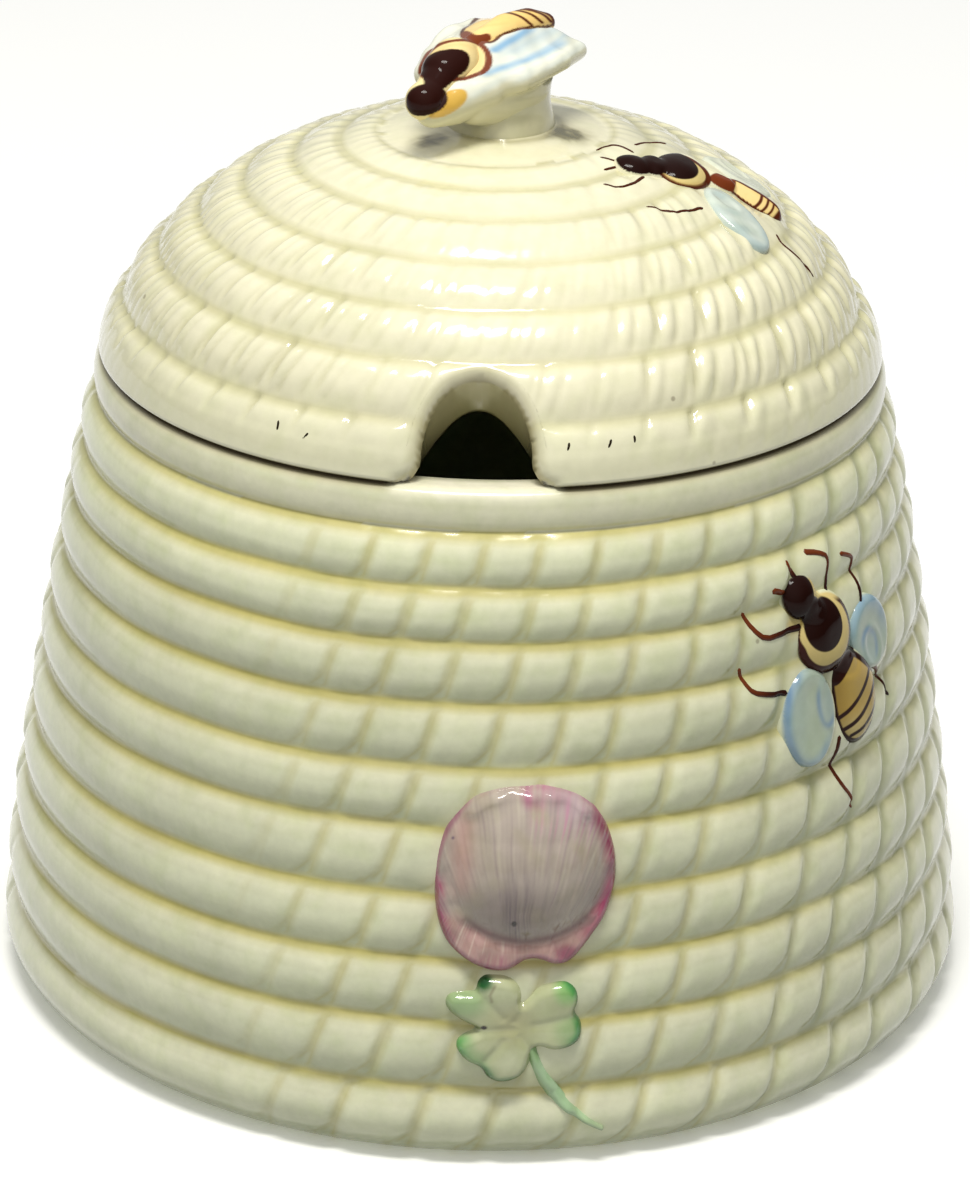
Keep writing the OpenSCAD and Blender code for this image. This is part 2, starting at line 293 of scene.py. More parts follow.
def build_pot():
    s = Sheet()
    N = 644
    zs = [0.0, 0.25, 0.8, 1.5, 2.2, 2.9, 3.6, 4.3, 5.0, 5.7, 6.4, 7.0, 7.6, 8.1, 8.6, 9.0]
    ts = [0.0, 0.05, 0.12, 0.21, 0.32, 0.44, 0.56, 0.67, 0.77, 0.85, 0.91, 0.96]
    for a, b in zip(VZ[1:10], VZ[2:11]):
        zs += [a + t * (b - a) for t in ts]
    zs += [69.3, 69.6, 70.0, 70.5, 71.1, 71.7, 72.3, 72.8, 73.2, 73.5, 73.68, 73.8]
    ph = np.arange(N) / 14.0
    for z in zs:
        az = -68 + ph * (360.0 / 46) + SHEAR * (z - 16.9)
        r, c = pot_wall(az, np.full(N, z), 1.0, True)
        s.ring(np.stack([r * np.cos(az * RAD), r * np.sin(az * RAD), np.full(N, z)], -1), c)
    az0 = az

    gap = sm(13.0, 10.5, np.abs(np.mod(az0 + 91.7 + 180, 360) - 180))[:, None]

    def plain(r, z, col, m=1):
        a = thin_out(az0, m)
        s.ring(np.stack([r * np.cos(a * RAD), r * np.sin(a * RAD), np.full(len(a), float(z))], -1), np.tile(col, (len(a), 1)))
    inner = mixc(IVORY_POT, SHADE, 0.25)
    # the rim's top is pale ivory as a painted highlight, and dark outside the notch as painted shade of the seam
    for r, f in ((42.3, 1.0), (41.6, 0.3)):
        s.ring(np.stack([r * np.cos(az0 * RAD), r * np.sin(az0 * RAD), np.full(N, 73.8)], -1), mixc(lin("#f4efd6") * np.ones((N, 3)), SEAM_SHADE, f * (1 - gap[:, 0])))
    plain(40.4, 73.76, IVORY)
    plain(39.95, 73.5, inner, 4)
    plain(39.7, 73.1, inner, 4)
    plain(39.5, 72.2, inner, 4)
    for z in (70, 67.5):
        plain(39.5, z, inner, 4)
    for z in (64, 60, 56, 52, 48, 44, 40, 36, 32, 28, 24, 20, 16):
        plain(55.4 - 0.085 * z - 0.00115 * z * z - 4.4 + 0.35 * sm(66, 60, z) - 0.3, z, inner, 4)
    plain(48.9, 12.5, inner, 4)
    plain(48.2, 10.0, inner, 4)
    plain(47.0, 8.0, mixc(inner, OCHRE, 0.2), 4)
    plain(45.4, 6.8, mixc(inner, OCHRE, 0.3), 4)
    plain(43.2, 6.1, mixc(inner, OCHRE, 0.2), 4)
    for r in (40, 34, 27, 20, 13, 6.5):
        plain(r, 6.0, inner, 4)
    s.pole((0, 0, 6.0), inner)
    # underside, from the foot ring's outer edge inwards
    u = Sheet()
    a = -68 + ph * (360.0 / 46) + SHEAR * (0 - 16.9)

    def under(r, z, col, m=1):
        b = thin_out(a, m)
        u.ring(np.stack([r * np.cos(b * RAD), r * np.sin(b * RAD), np.full(len(b), float(z))], -1), np.tile(col, (len(b), 1)))
    r, c = pot_wall(a, np.zeros(N), 1.0, True)
    u.ring(np.stack([r * np.cos(a * RAD), r * np.sin(a * RAD), np.zeros(N)], -1), c)
    under(51.2, 0.0, CLAY)
    under(49.8, 0.0, CLAY, 4)
    under(48.6, 0.0, CLAY, 4)
    under(48.1, 0.25, CLAY, 4)
    under(47.7, 1.1, mixc(CLAY, SHADE, 0.5), 4)
    under(47.2, 1.5, SHADE, 4)
    for r in (44, 38, 31, 24, 17, 10, 5):
        under(r, 1.6, mixc(IVORY_POT, SHADE, 0.3), 4)
    u.pole((0, 0, 1.6), mixc(IVORY_POT, SHADE, 0.3))
    v = np.vstack(s.v); c = np.vstack(s.c)
    v2 = np.vstack(u.v); c2 = np.vstack(u.c)
    # the first ring of u is the first ring of s
    shift = len(v) - N
    f2 = [tuple(x if x < N else x + shift for x in f) for f in u.f]
    return outward(make_mesh("pot_glazed", np.vstack([v, v2[N:]]), s.f + f2, np.vstack([c, c2[N:]])))


# ------------------------------------------------------------------ lid
# local frame of the bee on the lid: x down the slope, y across
LP0 = np.array([24.257, -6.048, 94.920])
LX = np.array([0.86487, -0.21564, -0.45331])
LY = np.array([0.24192, 0.97030, 0.0])
PV = np.array([13.5, 24.0, 34.2, 43.3, 52.0, 60.5, 67.6, 73.7, 90.0])
LH = np.array([0.85, 0.80, 0.78, 0.72, 0.62, 0.52, 0.42, 0.0])
LC, LA, LB = 66.0, 34.2, 44.7
NOTCH_AZ = -91.7
GROOVE = np.array([-173.7, -168.5, -162, -155.5, -149, -141.75, -134.5, -126.75, -118.75, -110.5, -101.8, -93.1, -84.4, -75.75, -67, -59, -49, -39.75, -30.5, -22, -14.5])
GROOVE = np.concatenate([GROOVE, -14.5 + (360 - 173.7 + 14.5) * np.arange(1, 26) / 25.0])
LJ = np.random.RandomState(21).uniform(-1, 1, (9, 100))


def lid_h(az, phi, colour=False):
    """height of the lid's glaze above the plain dome"""
    azn = np.mod(az + 173.7, 360) - 173.7
    phw = phi + (0.22 * wave(az, phi, 31) + 0.08 * np.sin(17 * az * RAD + phi)) * sm(16, 22, phi) * (1 - sm(74, 80, phi))
    i = np.clip(np.searchsorted(PV, phw, side="right") - 1, 0, 7)
    t = np.clip((phw - PV[i]) / (PV[i + 1] - PV[i]), 0, 1)
    L = (PV[i + 1] - PV[i]) * RAD * np.sqrt((LB * np.sin(phi * RAD)) ** 2 + (LA * np.cos(phi * RAD)) ** 2)
    q = np.abs(2 * t ** 1.15 - 1)
    body = np.where(t ** 1.15 > 0.5, 1 - q ** 2.8, 1 - q ** 2.1)
    h = LH[i] * body
    h = np.sqrt(h * h + (0.16 * (i < 7)) ** 2) - 0.05 * (i < 7)
    h = np.where(i == 0, np.where(t < 0.5, LH[0] * (0.55 + 0.45 * body), h), h)
    # grooves: main ones across the top of each band, finer ones on the next bands
    g = np.interp(azn, GROOVE, np.arange(len(GROOVE)), period=None)
    slant = 0.30 * (t - 0.8) + (i % 2) * 0.35
    ph = g - slant
    k = np.round(ph)
    kj = LJ[i, np.mod(k, 97).astype(int)]
    d = (ph - k + 0.05 * kj) * (360.0 / 45) * RAD * LB * np.cos(phi * RAD)
    side = 0.30 + 0.70 * np.maximum(sm(-104, -122, azn), sm(-72, -55, azn))
    side = np.where((azn > 0), 1.0, side)
    up = np.where(i == 0, sm(0.40, 0.85, t), sm(0.05, 0.5, t)) * sm(1.0, 0.93, t)
    amp = np.array([0.52, 0.46, 0.42, 0.32, 0.20, 0.12, 0.06, 0.0])[i] * (1 + 0.35 * kj) * side
    cut = amp * up * (np.exp(-(d / 0.42) ** 2) - 0.28 * np.exp(-((d - 1.15) / 0.65) ** 2))
    ph2 = g * 2 - 0.9 * (t - 0.5) + 0.5 + (i % 2) * 0.35
    k2 = np.round(ph2)
    d2 = (ph2 - k2 + 0.07 * LJ[(i + 4) % 9, np.mod(k2, 89).astype(int)]) * 4.0 * RAD * LB * np.cos(phi * RAD)
    amp2 = np.array([0.05, 0.26, 0.26, 0.20, 0.12, 0.07, 0.03, 0.0])[i] * side * (1 + 0.5 * LJ[(i + 2) % 9, np.mod(k, 91).astype(int)])
    cut = cut + amp2 * sm(0.02, 0.2, t) * sm(1.0, 0.7, t) * np.exp(-(d2 / 0.36) ** 2)
    h = h - cut + 0.05 * wave(az, phi, 33)
    # a thumbed hollow and swelling round the relief bee, and a fillet under the knob
    sp = dome(az, phi, 0.0)
    bd = (sp - LP0) @ np.stack([LX, LY], -1)
    near_bee = np.exp(-(np.maximum(np.sqrt((bd[..., 0] / 8.5) ** 2 + (bd[..., 1] / 5.0) ** 2) - 1, 0) * 5 / 2.0) ** 2)
    h = h + near_bee * 0.7 * (0.62 - h) + 0.10 * near_bee * np.sin(bd[..., 0] * 0.9 + 0.5 * bd[..., 1])
    kd = np.hypot(sp[..., 0] - 0.9, sp[..., 1] + 0.3)
    ka = np.degrees(np.arctan2(sp[..., 1] + 0.3, sp[..., 0] - 0.9))
    if not colour:
        return h
    dn = (1 - t) * L
    up_ = t * L
    ring = np.maximum(np.exp(-(np.maximum(dn - 0.2, 0) / 0.6) ** 2), np.exp(-(up_ / 0.5) ** 2) * (i > 0)) * (i < 7)
    # painted shade: valleys darker, and more so on the sides turned away from the light
    away = np.maximum(sm(-100, -125, azn), sm(-75, -50, azn)) * (azn < 0) + (azn >= 0)
    col = mixc(LIDC + 0 * h[..., None], LIDSHADE, np.clip(ring * (0.50 + 0.35 * away + 0.12 * wave(az, phi, 35)) + np.maximum(cut, 0) * 1.7, 0, 1))
    col = mixc(col, lin("#b9b78f"), ring * away * 0.30)
    kx, ky = sp[..., 0] - 0.9, sp[..., 1] + 0.3
    mot = 0.78 + 0.22 * np.sin(kx * 2.3 + 1.4 * np.sin(ky * 1.9)) * np.sin(ky * 2.7 + kx)
    # painted shadow: dark olive patches either side of the knob's base, under the bee, and a darker ring round the
    # stem's foot
    knob_shadow = np.exp(-((kx - 7.4) / 2.1) ** 2 - ((ky + 2.6) / 2.3) ** 2) + np.exp(-((kx + 7.6) / 2.0) ** 2 - ((ky + 5.6) / 2.0) ** 2)
    knob_shadow = np.clip(knob_shadow * 1.25, 0, 1) * mot + 0.45 * np.exp(-((kd - 6.4) / 0.8) ** 2)
    col = mixc(col, lin("#857b48"), np.clip(knob_shadow * 1.3, 0, 1) * 0.9)
    col = mixc(col, lin("#403c1e"), np.clip(knob_shadow * 1.8 - 0.7, 0, 1) * 0.8)
    col = mixc(col, lin("#cfc9a2"), near_bee * 0.22 * (0.6 + 0.4 * np.sin(bd[..., 0] * 1.3 + bd[..., 1] * 0.8)))
    col = mixc(col, lin("#d9cf8f"), ring * 0.22)
    col = mixc(col, lin("#dcdcba"), sm(30, 14, phi) * 0.45)
    return h, col


def dome(az, phi, h=0.0):
    nr = np.cos(phi * RAD) / LB
    nz = np.sin(phi * RAD) / LA
    n = np.sqrt(nr * nr + nz * nz)
    r = LB * np.cos(phi * RAD) + h * nr / n
    z = LC + LA * np.sin(phi * RAD) + h * nz / n
    return np.stack([r * np.cos(az * RAD), r * np.sin(az * RAD), z], -1)


def notch_outline():
    """the arch in the front plane: x to the right, z up; from the left seam over the top to the right seam"""
    th = np.linspace(0, 90, 40)
    up = np.stack([5.95 * np.cos(th * RAD), 76.6 + 7.5 * np.sin(th * RAD)], -1)          # side to top
    fl = np.linspace(90, 0, 26)
    flare = np.stack([5.95 + 3.3 * (1 - np.cos(fl * RAD)) ** 1.0, 76.6 - 2.6 * np.sin(fl * RAD)], -1)  # seam to side
    right = np.vstack([flare, up[1:]])
    left = right[::-1].copy(); left[:, 0] *= -1
    return np.vstack([right, left[1:]])[::-1]      # left seam -> top -> right seam


def build_lid():
    N = 630
    arch = notch_outline()
    # boundary on the dome: notch part then the seam round the back
    rr = np.interp(arch[:, 1], [74, 77, 80, 82, 84.2], [43.5, 42.3, 40.7, 39.6, 38.2]) + 0.5
    a_arch = NOTCH_AZ + np.degrees(np.arcsin(arch[:, 0] / rr))
    p_arch = np.degrees(np.arcsin(np.clip((arch[:, 1] - LC) / LA, 0, 1)))
    seam_phi = math.degrees(math.asin((74.0 - LC) / LA))
    aa = np.linspace(a_arch[-1], a_arch[0] + 360, 700)[1:-1]
    A = np.concatenate([a_arch, aa])
    P = np.concatenate([p_arch, np.full(len(aa), seam_phi)])
    XYZ = dome(A, P)
    seg = np.linalg.norm(np.diff(np.vstack([XYZ, XYZ[:1]]), axis=0), axis=1)
    s = np.concatenate([[0], np.cumsum(seg)])
    A2 = np.concatenate([A, [A[0] + 360]]); P2 = np.concatenate([P, [P[0]]])
    half = 0.5 * s[len(a_arch) - 1]
    pos = (half + np.arange(N) / N * s[-1]) % s[-1]
    BA = np.interp(pos, s, A2)
    BP = np.interp(pos, s, P2)
    BA = NOTCH_AZ + np.mod(BA - NOTCH_AZ + 0.001, 360) - 0.001
    # column u: 0 is the top of the arch, and it runs to the right round the back
    UA = NOTCH_AZ + np.arange(N) / N * 360.0
    onarch = sm(74.02, 75.6, LC + LA * np.sin(BP * RAD))
    # inward direction off the arch, in (arc mm, rise mm)
    bx = (np.mod(BA - NOTCH_AZ + 180, 360) - 180) * RAD * 41.5
    bz = BP * RAD * 40.0
    tx = np.roll(bx, -1) - np.roll(bx, 1); tz = np.roll(bz, -1) - np.roll(bz, 1)
    tx = np.where(np.abs(tx) > 50, 0.9, tx)
    ln = np.hypot(tx, tz) + 1e-9
    nx, nz = -tz / ln, tx / ln
    PT = 45.0
    m = Sheet()

    def dist_to_arch(az, phi):
        X = (np.mod(az - NOTCH_AZ + 180, 360) - 180) * RAD * 41.5
        Z = phi * RAD * 40.0
        qx = (a_arch - NOTCH_AZ) * RAD * 41.5
        qz = p_arch * RAD * 40.0
        keep = slice(6, len(qx) - 6)
        d2 = (X[:, None] - qx[None, keep]) ** 2 + (Z[:, None] - qz[None, keep]) ** 2
        return np.sqrt(d2.min(1))

    # outer skin from the crown down to the boundary is drawn boundary-up
    rows = []
    nv = 48
    g = np.linspace(0, 1, nv) ** 1.12
    for v in g:
        az = BA + (UA - BA) * v
        ph = BP + (PT - BP) * v
        bump = 1.1 * (v / 0.05) * math.exp(1 - v / 0.05) * onarch
        az = az + nx * bump / 41.5 / RAD
        ph = ph + nz * bump / 40.0 / RAD
        rows.append((az, ph))
    R = 1.5

    def skin(az, ph):
        h, c = lid_h(az, ph, True)
        d = dist_to_arch(az, ph)
        near = np.clip(1 - d / 3.2, 0, 1)
        h = h * (1 - near ** 1.5) + 0.35 * near ** 1.5
        sink = np.where(d < R, R - np.sqrt(np.maximum(R * R - (R - d) ** 2, 0)), 0)
        low = (ph - seam_phi) * RAD * 40
        lowr = 0.45
        sink2 = np.where(low < lowr, lowr - np.sqrt(np.maximum(lowr ** 2 - (lowr - np.maximum(low, 0)) ** 2, 0)), 0)
        # the arch's rounded edge browner towards the cut: thin glaze on the edge, with painted shade where it turns
        # down
        c = mixc(c, lin("#c4bc98"), np.clip(1 - d / 1.7, 0, 1) * 0.55)
        c = mixc(c, lin("#9c8f62"), np.clip(1 - d / 0.55, 0, 1) * 0.75)
        # painted highlight: a pale line along the lid's lower edge
        c = mixc(c, LIDC, sm(0.9, 0.45, low) * sm(0.12, 0.3, low) * 0.5)
        # painted shade: the lid's bottom edge dark where it meets the pot
        c = mixc(c, SEAM_SHADE, sm(0.16, 0.0, low) * 0.9)
        h = h - np.maximum(sink, sink2)
        return dome(az, ph, h), c
    # inner edge first, so the skin is one run: crown in -> flange -> seam -> crown out
    edge0, ecol0 = skin(*rows[0])
    ang = np.mod(BA - NOTCH_AZ + 180, 360) - 180
    xB = ang * RAD * 43.0
    zB = edge0[:, 2]
    rB = np.hypot(edge0[:, 0], edge0[:, 1])
    sh = np.clip((LC + LA * np.sin(BP * RAD) - 74.0) / 10.1, 0, 1)
    z_in = 69.45 + (79.7 - 69.45) * sh ** 0.85
    dz = 79.7 - z_in
    w_in = 2.25 * np.sqrt(np.maximum(dz, 0)) * (1 + 0.20 * (dz / 10.0) ** 2)
    sgn = np.where(ang >= 0, 1.0, -1.0)
    xarc = np.where(sh > 0, sgn * w_in, ang * RAD * 35.8)
    near = (np.abs(ang) < 40) & (sh <= 0)
    # seam columns next to the notch slide so that the flange ends at the notch
    x_edge = 9.25
    flange_end = w_in.max() if w_in.max() > 0 else 8.5
    ang_in = np.where(sh > 0, np.degrees(np.arcsin(np.clip(xarc / 36.0, -0.99, 0.99))), ang)
    a_end = np.degrees(np.arcsin(min(0.99, (2.25 * math.sqrt(10.25) * 1.21) / 36.0)))
    a_seam = np.abs(ang[(sh <= 0)]).min()
    shift = a_end - a_seam
    ang_in = np.where(sh > 0, ang_in, ang + np.sign(ang) * shift * np.clip(1 - (np.abs(ang) - a_seam) / 25.0, 0, 1))
    sp = np.array([(42.95, 74.02), (42.3, 74.0), (40.8, 74.0), (39.2, 74.0), (38.75, 73.9), (38.6, 73.5), (38.6, 72.2), (38.6, 70.9), (38.55, 70.1),
                   (38.3, 69.65), (37.8, 69.42), (37.2, 69.4), (36.6, 69.42), (36.1, 69.65), (35.85, 70.1)])
    K = len(sp)
    wgt = sm(0.0, 0.20, sh)
    edges = []
    for j in range(K):
        e = (j + 1) / (K + 0.0)
        r_s, z_s = sp[j]
        r_a = rB + (36.0 - rB) * e
        z_a = zB + (z_in - zB) * e
        a_a = ang + (ang_in - ang) * e
        round_in = 0.0
        r_ = r_s * (1 - wgt) + r_a * wgt
        z_ = z_s * (1 - wgt) + z_a * wgt
        a_s = ang + (ang_in - ang) * min(1.0, e * 2.2)
        a_ = NOTCH_AZ + a_s * (1 - wgt) + a_a * wgt
        pts = np.stack([r_ * np.cos(a_ * RAD), r_ * np.sin(a_ * RAD), z_], -1)
        # the lid's seat on the rim is dark as painted shade of the seam; the notch's cut face is grey-brown, darkening
        # inwards: the glaze's colour with painted shade
        cs = mixc(mixc(LIDC, SEAM_SHADE, 0.85 * (j < 4)) * np.ones((N, 3)), mixc(lin("#c6bd92"), lin("#989067"), e), wgt)
        edges.append((pts, cs))
    # inner wall and inner dome
    ib, ia = 29.8, 40.3
    ph_in0 = math.degrees(math.acos(35.8 / ia))
    z_top = LC + ib * math.sin(ph_in0 * RAD)
    Lv = z_top - 70.1
    ph_end = 52.0
    Ld = (ph_end - ph_in0) * RAD * 36.0
    l0 = np.where(sh > 0, np.maximum(z_in - 70.1, 0), 0.0)
    l0 = np.clip(l0 + 0.35, 0.35, None)
    inside = []
    for v in np.linspace(0, 1, 20):
        l = l0 + (Lv + Ld - l0) * v
        az = NOTCH_AZ + ang_in + (np.mod(UA - NOTCH_AZ + 180, 360) - 180 - ang_in) * v
        phi = ph_in0 + np.maximum(l - Lv, 0) / 36.0 / RAD
        r_ = np.where(l < Lv, 35.8, ia * np.cos(phi * RAD))
        z_ = np.where(l < Lv, 70.1 + l, LC + ib * np.sin(phi * RAD))
        inside.append((np.stack([r_ * np.cos(az * RAD), r_ * np.sin(az * RAD), z_], -1), np.tile(mixc(LIDC, LIDSHADE, 0.3), (N, 1))))
    icol = mixc(LIDC, LIDSHADE, 0.3)
    # run: inner crown ... we start at the inner pole, so build it reversed
    inner_rings = []
    for k, phi in enumerate((56, 61, 66, 71, 76, 81, 86)):
        a = UA[::5]
        r_ = ia * math.cos(phi * RAD); z_ = LC + ib * math.sin(phi * RAD)
        inner_rings.append((np.stack([r_ * np.cos(a * RAD), r_ * np.sin(a * RAD), np.full(len(a), z_)], -1), np.tile(icol, (len(a), 1))))
    # outer part
    for az, ph in rows[::1]:
        pts, c = skin(az, ph)
        m.ring(pts, c)
    for phi in np.linspace(PT, 61, 24)[1:]:
        h, c = lid_h(UA, np.full(N, phi), True)
        m.ring(dome(UA, np.full(N, phi), h), c)
    u3 = UA[::3]
    for phi in np.linspace(61, 75.5, 18)[1:]:
        h, c = lid_h(u3, np.full(len(u3), phi), True)
        m.ring(dome(u3, np.full(len(u3), phi), h), c)
    u6 = UA[::6]
    for phi in (76.4, 77.2, 78, 78.6, 79.2, 79.8, 80.4, 81, 81.8, 84, 87):
        h, c = lid_h(u6, np.full(len(u6), phi), True)
        m.ring(dome(u6, np.full(len(u6), phi), h), c)
    m.pole((0, 0, LC + LA), LIDC)
    # the underside shares the first ring
    w = Sheet()
    w.ring(*skin(*rows[0]))
    for e in edges:
        w.ring(*e)
    for e in inside:
        w.ring(*e)
    for e in inner_rings:
        w.ring(*e)
    w.pole((0, 0, LC + ib), icol)
    v = np.vstack(m.v); c = np.vstack(m.c); v2 = np.vstack(w.v); c2 = np.vstack(w.c)
    shift_i = len(v) - N
    f2 = [tuple(x if x < N else x + shift_i for x in f) for f in w.f]
    return outward(make_mesh("lid_glazed", np.vstack([v, v2[N:]]), m.f + f2, np.vstack([c, c2[N:]])))


# ------------------------------------------------------------------ materials
def glaze(name, rough=0.16, coat=0.55, speck=0.5, mottle=0.05, ripple=0.25, scale=1.0, spec=0.5):
    """glossy glaze over the painted colour of the vertices, with faint mottling, fine ripples and a few dark specks"""
    m = bpy.data.materials.new(name)
    m.use_nodes = True
    nt = m.node_tree
    n = nt.nodes
    for x in list(n):
        n.remove(x)
    out = n.new("ShaderNodeOutputMaterial")
    b = n.new("ShaderNodeBsdfPrincipled")
    nt.links.new(b.outputs["BSDF"], out.inputs["Surface"])
    at = n.new("ShaderNodeAttribute"); at.attribute_name = "Col"
    tc = n.new("ShaderNodeTexCoord")
    n1 = n.new("ShaderNodeTexNoise"); n1.inputs["Scale"].default_value = 95 * scale; n1.inputs["Detail"].default_value = 4
    n2 = n.new("ShaderNodeTexNoise"); n2.inputs["Scale"].default_value = 900 * scale; n2.inputs["Detail"].default_value = 3
    nt.links.new(tc.outputs["Object"], n1.inputs["Vector"])
    nt.links.new(tc.outputs["Object"], n2.inputs["Vector"])
    r1 = n.new("ShaderNodeMapRange"); r1.inputs["From Min"].default_value = 0.3; r1.inputs["From Max"].default_value = 0.7
    r1.inputs["To Min"].default_value = 1 - mottle; r1.inputs["To Max"].default_value = 1 + mottle * 0.8
    nt.links.new(n1.outputs["Fac"], r1.inputs["Value"])
    r2 = n.new("ShaderNodeMapRange"); r2.inputs["From Min"].default_value = 0.3; r2.inputs["From Max"].default_value = 0.7
    r2.inputs["To Min"].default_value = 1 - mottle * 0.5; r2.inputs["To Max"].default_value = 1 + mottle * 0.4
    nt.links.new(n2.outputs["Fac"], r2.inputs["Value"])
    mu = n.new("ShaderNodeMath"); mu.operation = "MULTIPLY"
    nt.links.new(r1.outputs["Result"], mu.inputs[0]); nt.links.new(r2.outputs["Result"], mu.inputs[1])
    sc = n.new("ShaderNodeVectorMath"); sc.operation = "SCALE"
    nt.links.new(at.outputs["Color"], sc.inputs[0]); nt.links.new(mu.outputs["Value"], sc.inputs["Scale"])
    # the glaze pools a little greener and yellower in patches
    n4 = n.new("ShaderNodeTexNoise"); n4.inputs["Scale"].default_value = 310 * scale; n4.inputs["Detail"].default_value = 5
    nt.links.new(tc.outputs["Object"], n4.inputs["Vector"])
    r4 = n.new("ShaderNodeMapRange"); r4.inputs["From Min"].default_value = 0.46; r4.inputs["From Max"].default_value = 0.68
    r4.inputs["To Min"].default_value = 0.0; r4.inputs["To Max"].default_value = mottle * 9
    nt.links.new(n4.outputs["Fac"], r4.inputs["Value"])
    ti = n.new("ShaderNodeVectorMath"); ti.operation = "MULTIPLY"; ti.inputs[1].default_value = (0.90, 0.93, 0.83)
    nt.links.new(sc.outputs["Vector"], ti.inputs[0])
    tm = n.new("ShaderNodeMix"); tm.data_type = "RGBA"
    nt.links.new(r4.outputs["Result"], tm.inputs["Factor"])
    nt.links.new(sc.outputs["Vector"], tm.inputs["A"]); nt.links.new(ti.outputs["Vector"], tm.inputs["B"])
    # specks: rare small dark dots
    vo = n.new("ShaderNodeTexVoronoi"); vo.inputs["Scale"].default_value = 210 * scale
    nt.links.new(tc.outputs["Object"], vo.inputs["Vector"])
    se = n.new("ShaderNodeSeparateColor")
    nt.links.new(vo.outputs["Color"], se.inputs["Color"])
    pick = n.new("ShaderNodeMath"); pick.operation = "LESS_THAN"; pick.inputs[1].default_value = 0.07
    nt.links.new(se.outputs["Red"], pick.inputs[0])
    size = n.new("ShaderNodeMapRange"); size.inputs["From Min"].default_value = 0.045; size.inputs["From Max"].default_value = 0.075
    size.inputs["To Min"].default_value = 1.0; size.inputs["To Max"].default_value = 0.0
    nt.links.new(vo.outputs["Distance"], size.inputs["Value"])
    dot = n.new("ShaderNodeMath"); dot.operation = "MULTIPLY"
    nt.links.new(pick.outputs["Value"], dot.inputs[0]); nt.links.new(size.outputs["Result"], dot.inputs[1])
    dm = n.new("ShaderNodeMath"); dm.operation = "MULTIPLY"; dm.inputs[1].default_value = speck
    nt.links.new(dot.outputs["Value"], dm.inputs[0])
    mx = n.new("ShaderNodeMix"); mx.data_type = "RGBA"
    nt.links.new(dm.outputs["Value"], mx.inputs["Factor"])
    nt.links.new(tm.outputs["Result"], mx.inputs["A"])
    mx.inputs["B"].default_value = (0.16, 0.11, 0.06, 1)
    nt.links.new(mx.outputs["Result"], b.inputs["Base Color"])
    # roughness varies a little
    rr = n.new("ShaderNodeMapRange"); rr.inputs["From Min"].default_value = 0.3; rr.inputs["From Max"].default_value = 0.7
    rr.inputs["To Min"].default_value = rough * 0.75; rr.inputs["To Max"].default_value = rough * 1.3
    nt.links.new(n1.outputs["Fac"], rr.inputs["Value"])
    nt.links.new(rr.outputs["Result"], b.inputs["Roughness"])
    n3 = n.new("ShaderNodeTexNoise"); n3.inputs["Scale"].default_value = 420 * scale; n3.inputs["Detail"].default_value = 2
    nt.links.new(tc.outputs["Object"], n3.inputs["Vector"])
    bp = n.new("ShaderNodeBump"); bp.inputs["Strength"].default_value = ripple; bp.inputs["Distance"].default_value = 0.00012
    nt.links.new(n3.outputs["Fac"], bp.inputs["Height"])
    nt.links.new(bp.outputs["Normal"], b.inputs["Normal"])
    b.inputs["Specular IOR Level"].default_value = spec
    b.inputs["Coat Weight"].default_value = coat
    b.inputs["Coat Roughness"].default_value = 0.04
    b.inputs["Coat IOR"].default_value = 1.5
    return m


def use(ob, mat, body, slot, *nodes):
    ob.data.materials.clear()
    ob.data.materials.append(mat)
    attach(ob, body)
    if nodes:
        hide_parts(*nodes)
    return ob


POT_GLAZE = glaze("pot_glaze", coat=0.25, mottle=0.075, rough=0.17, ripple=0.4)
LID_GLAZE = glaze("lid_glaze", rough=0.14, mottle=0.05)
WING_GLAZE = glaze("wing_glaze", rough=0.14, coat=0.2, speck=0.1, mottle=0.03, spec=0.35)
PAINT = glaze("painted_glaze", rough=0.10, coat=0.0, speck=0.0, mottle=0.05, spec=0.10)
WASH = glaze("washed_glaze", rough=0.12, coat=0.45, speck=0.0, mottle=0.07, spec=0.3)

pot = use(build_pot(), POT_GLAZE, "pot", "cream_glaze", "pot_body")
lid = use(build_lid(), LID_GLAZE, "lid", "lid_glaze", "lid_shell")

# ------------------------------------------------------------------ relief
def ell(x, y, cx, cy, a, b, tilt=0.0):
    """signed distance to an ellipse, in mm, negative inside"""
    c, s = math.cos(tilt * RAD), math.sin(tilt * RAD)
    u = (x - cx) * c + (y - cy) * s
    v = -(x - cx) * s + (y - cy) * c
    k0 = np.sqrt((u / a) ** 2 + (v / b) ** 2) + 1e-9
    k1 = np.sqrt((u / a ** 2) ** 2 + (v / b ** 2) ** 2) + 1e-9
    return k0 * (k0 - 1) / k1


def line_d(x, y, pts):
    """distance to a polyline"""
    best = np.full(np.shape(x), 1e9)
    for (x0, y0), (x1, y1) in zip(pts[:-1], pts[1:]):
        dx, dy = x1 - x0, y1 - y0
        t = np.clip(((x - x0) * dx + (y - y0) * dy) / (dx * dx + dy * dy + 1e-12), 0, 1)
        best = np.minimum(best, np.hypot(x - x0 - t * dx, y - y0 - t * dy))
    return best


def poly_d(x, y, pts):
    """signed distance to a closed outline, negative inside"""
    pts = list(pts)
    d = line_d(x, y, pts + [pts[0]])
    inside = np.zeros(np.shape(x), bool)
    for (x0, y0), (x1, y1) in zip(pts, pts[1:] + [pts[0]]):
        cond = ((y0 > y) != (y1 > y)) & (x < (x1 - x0) * (y - y0) / (y1 - y0 + 1e-12) + x0)
        inside ^= cond
    return np.where(inside, -d, d)


def rounded(pts, n=2):
    """corner-cut a closed outline n times"""
    p = np.asarray(pts, float)
    for _ in range(n):
        q = np.roll(p, -1, 0)
        p = np.stack([0.75 * p + 0.25 * q, 0.25 * p + 0.75 * q], 1).reshape(-1, 2)
    return [tuple(a) for a in p]


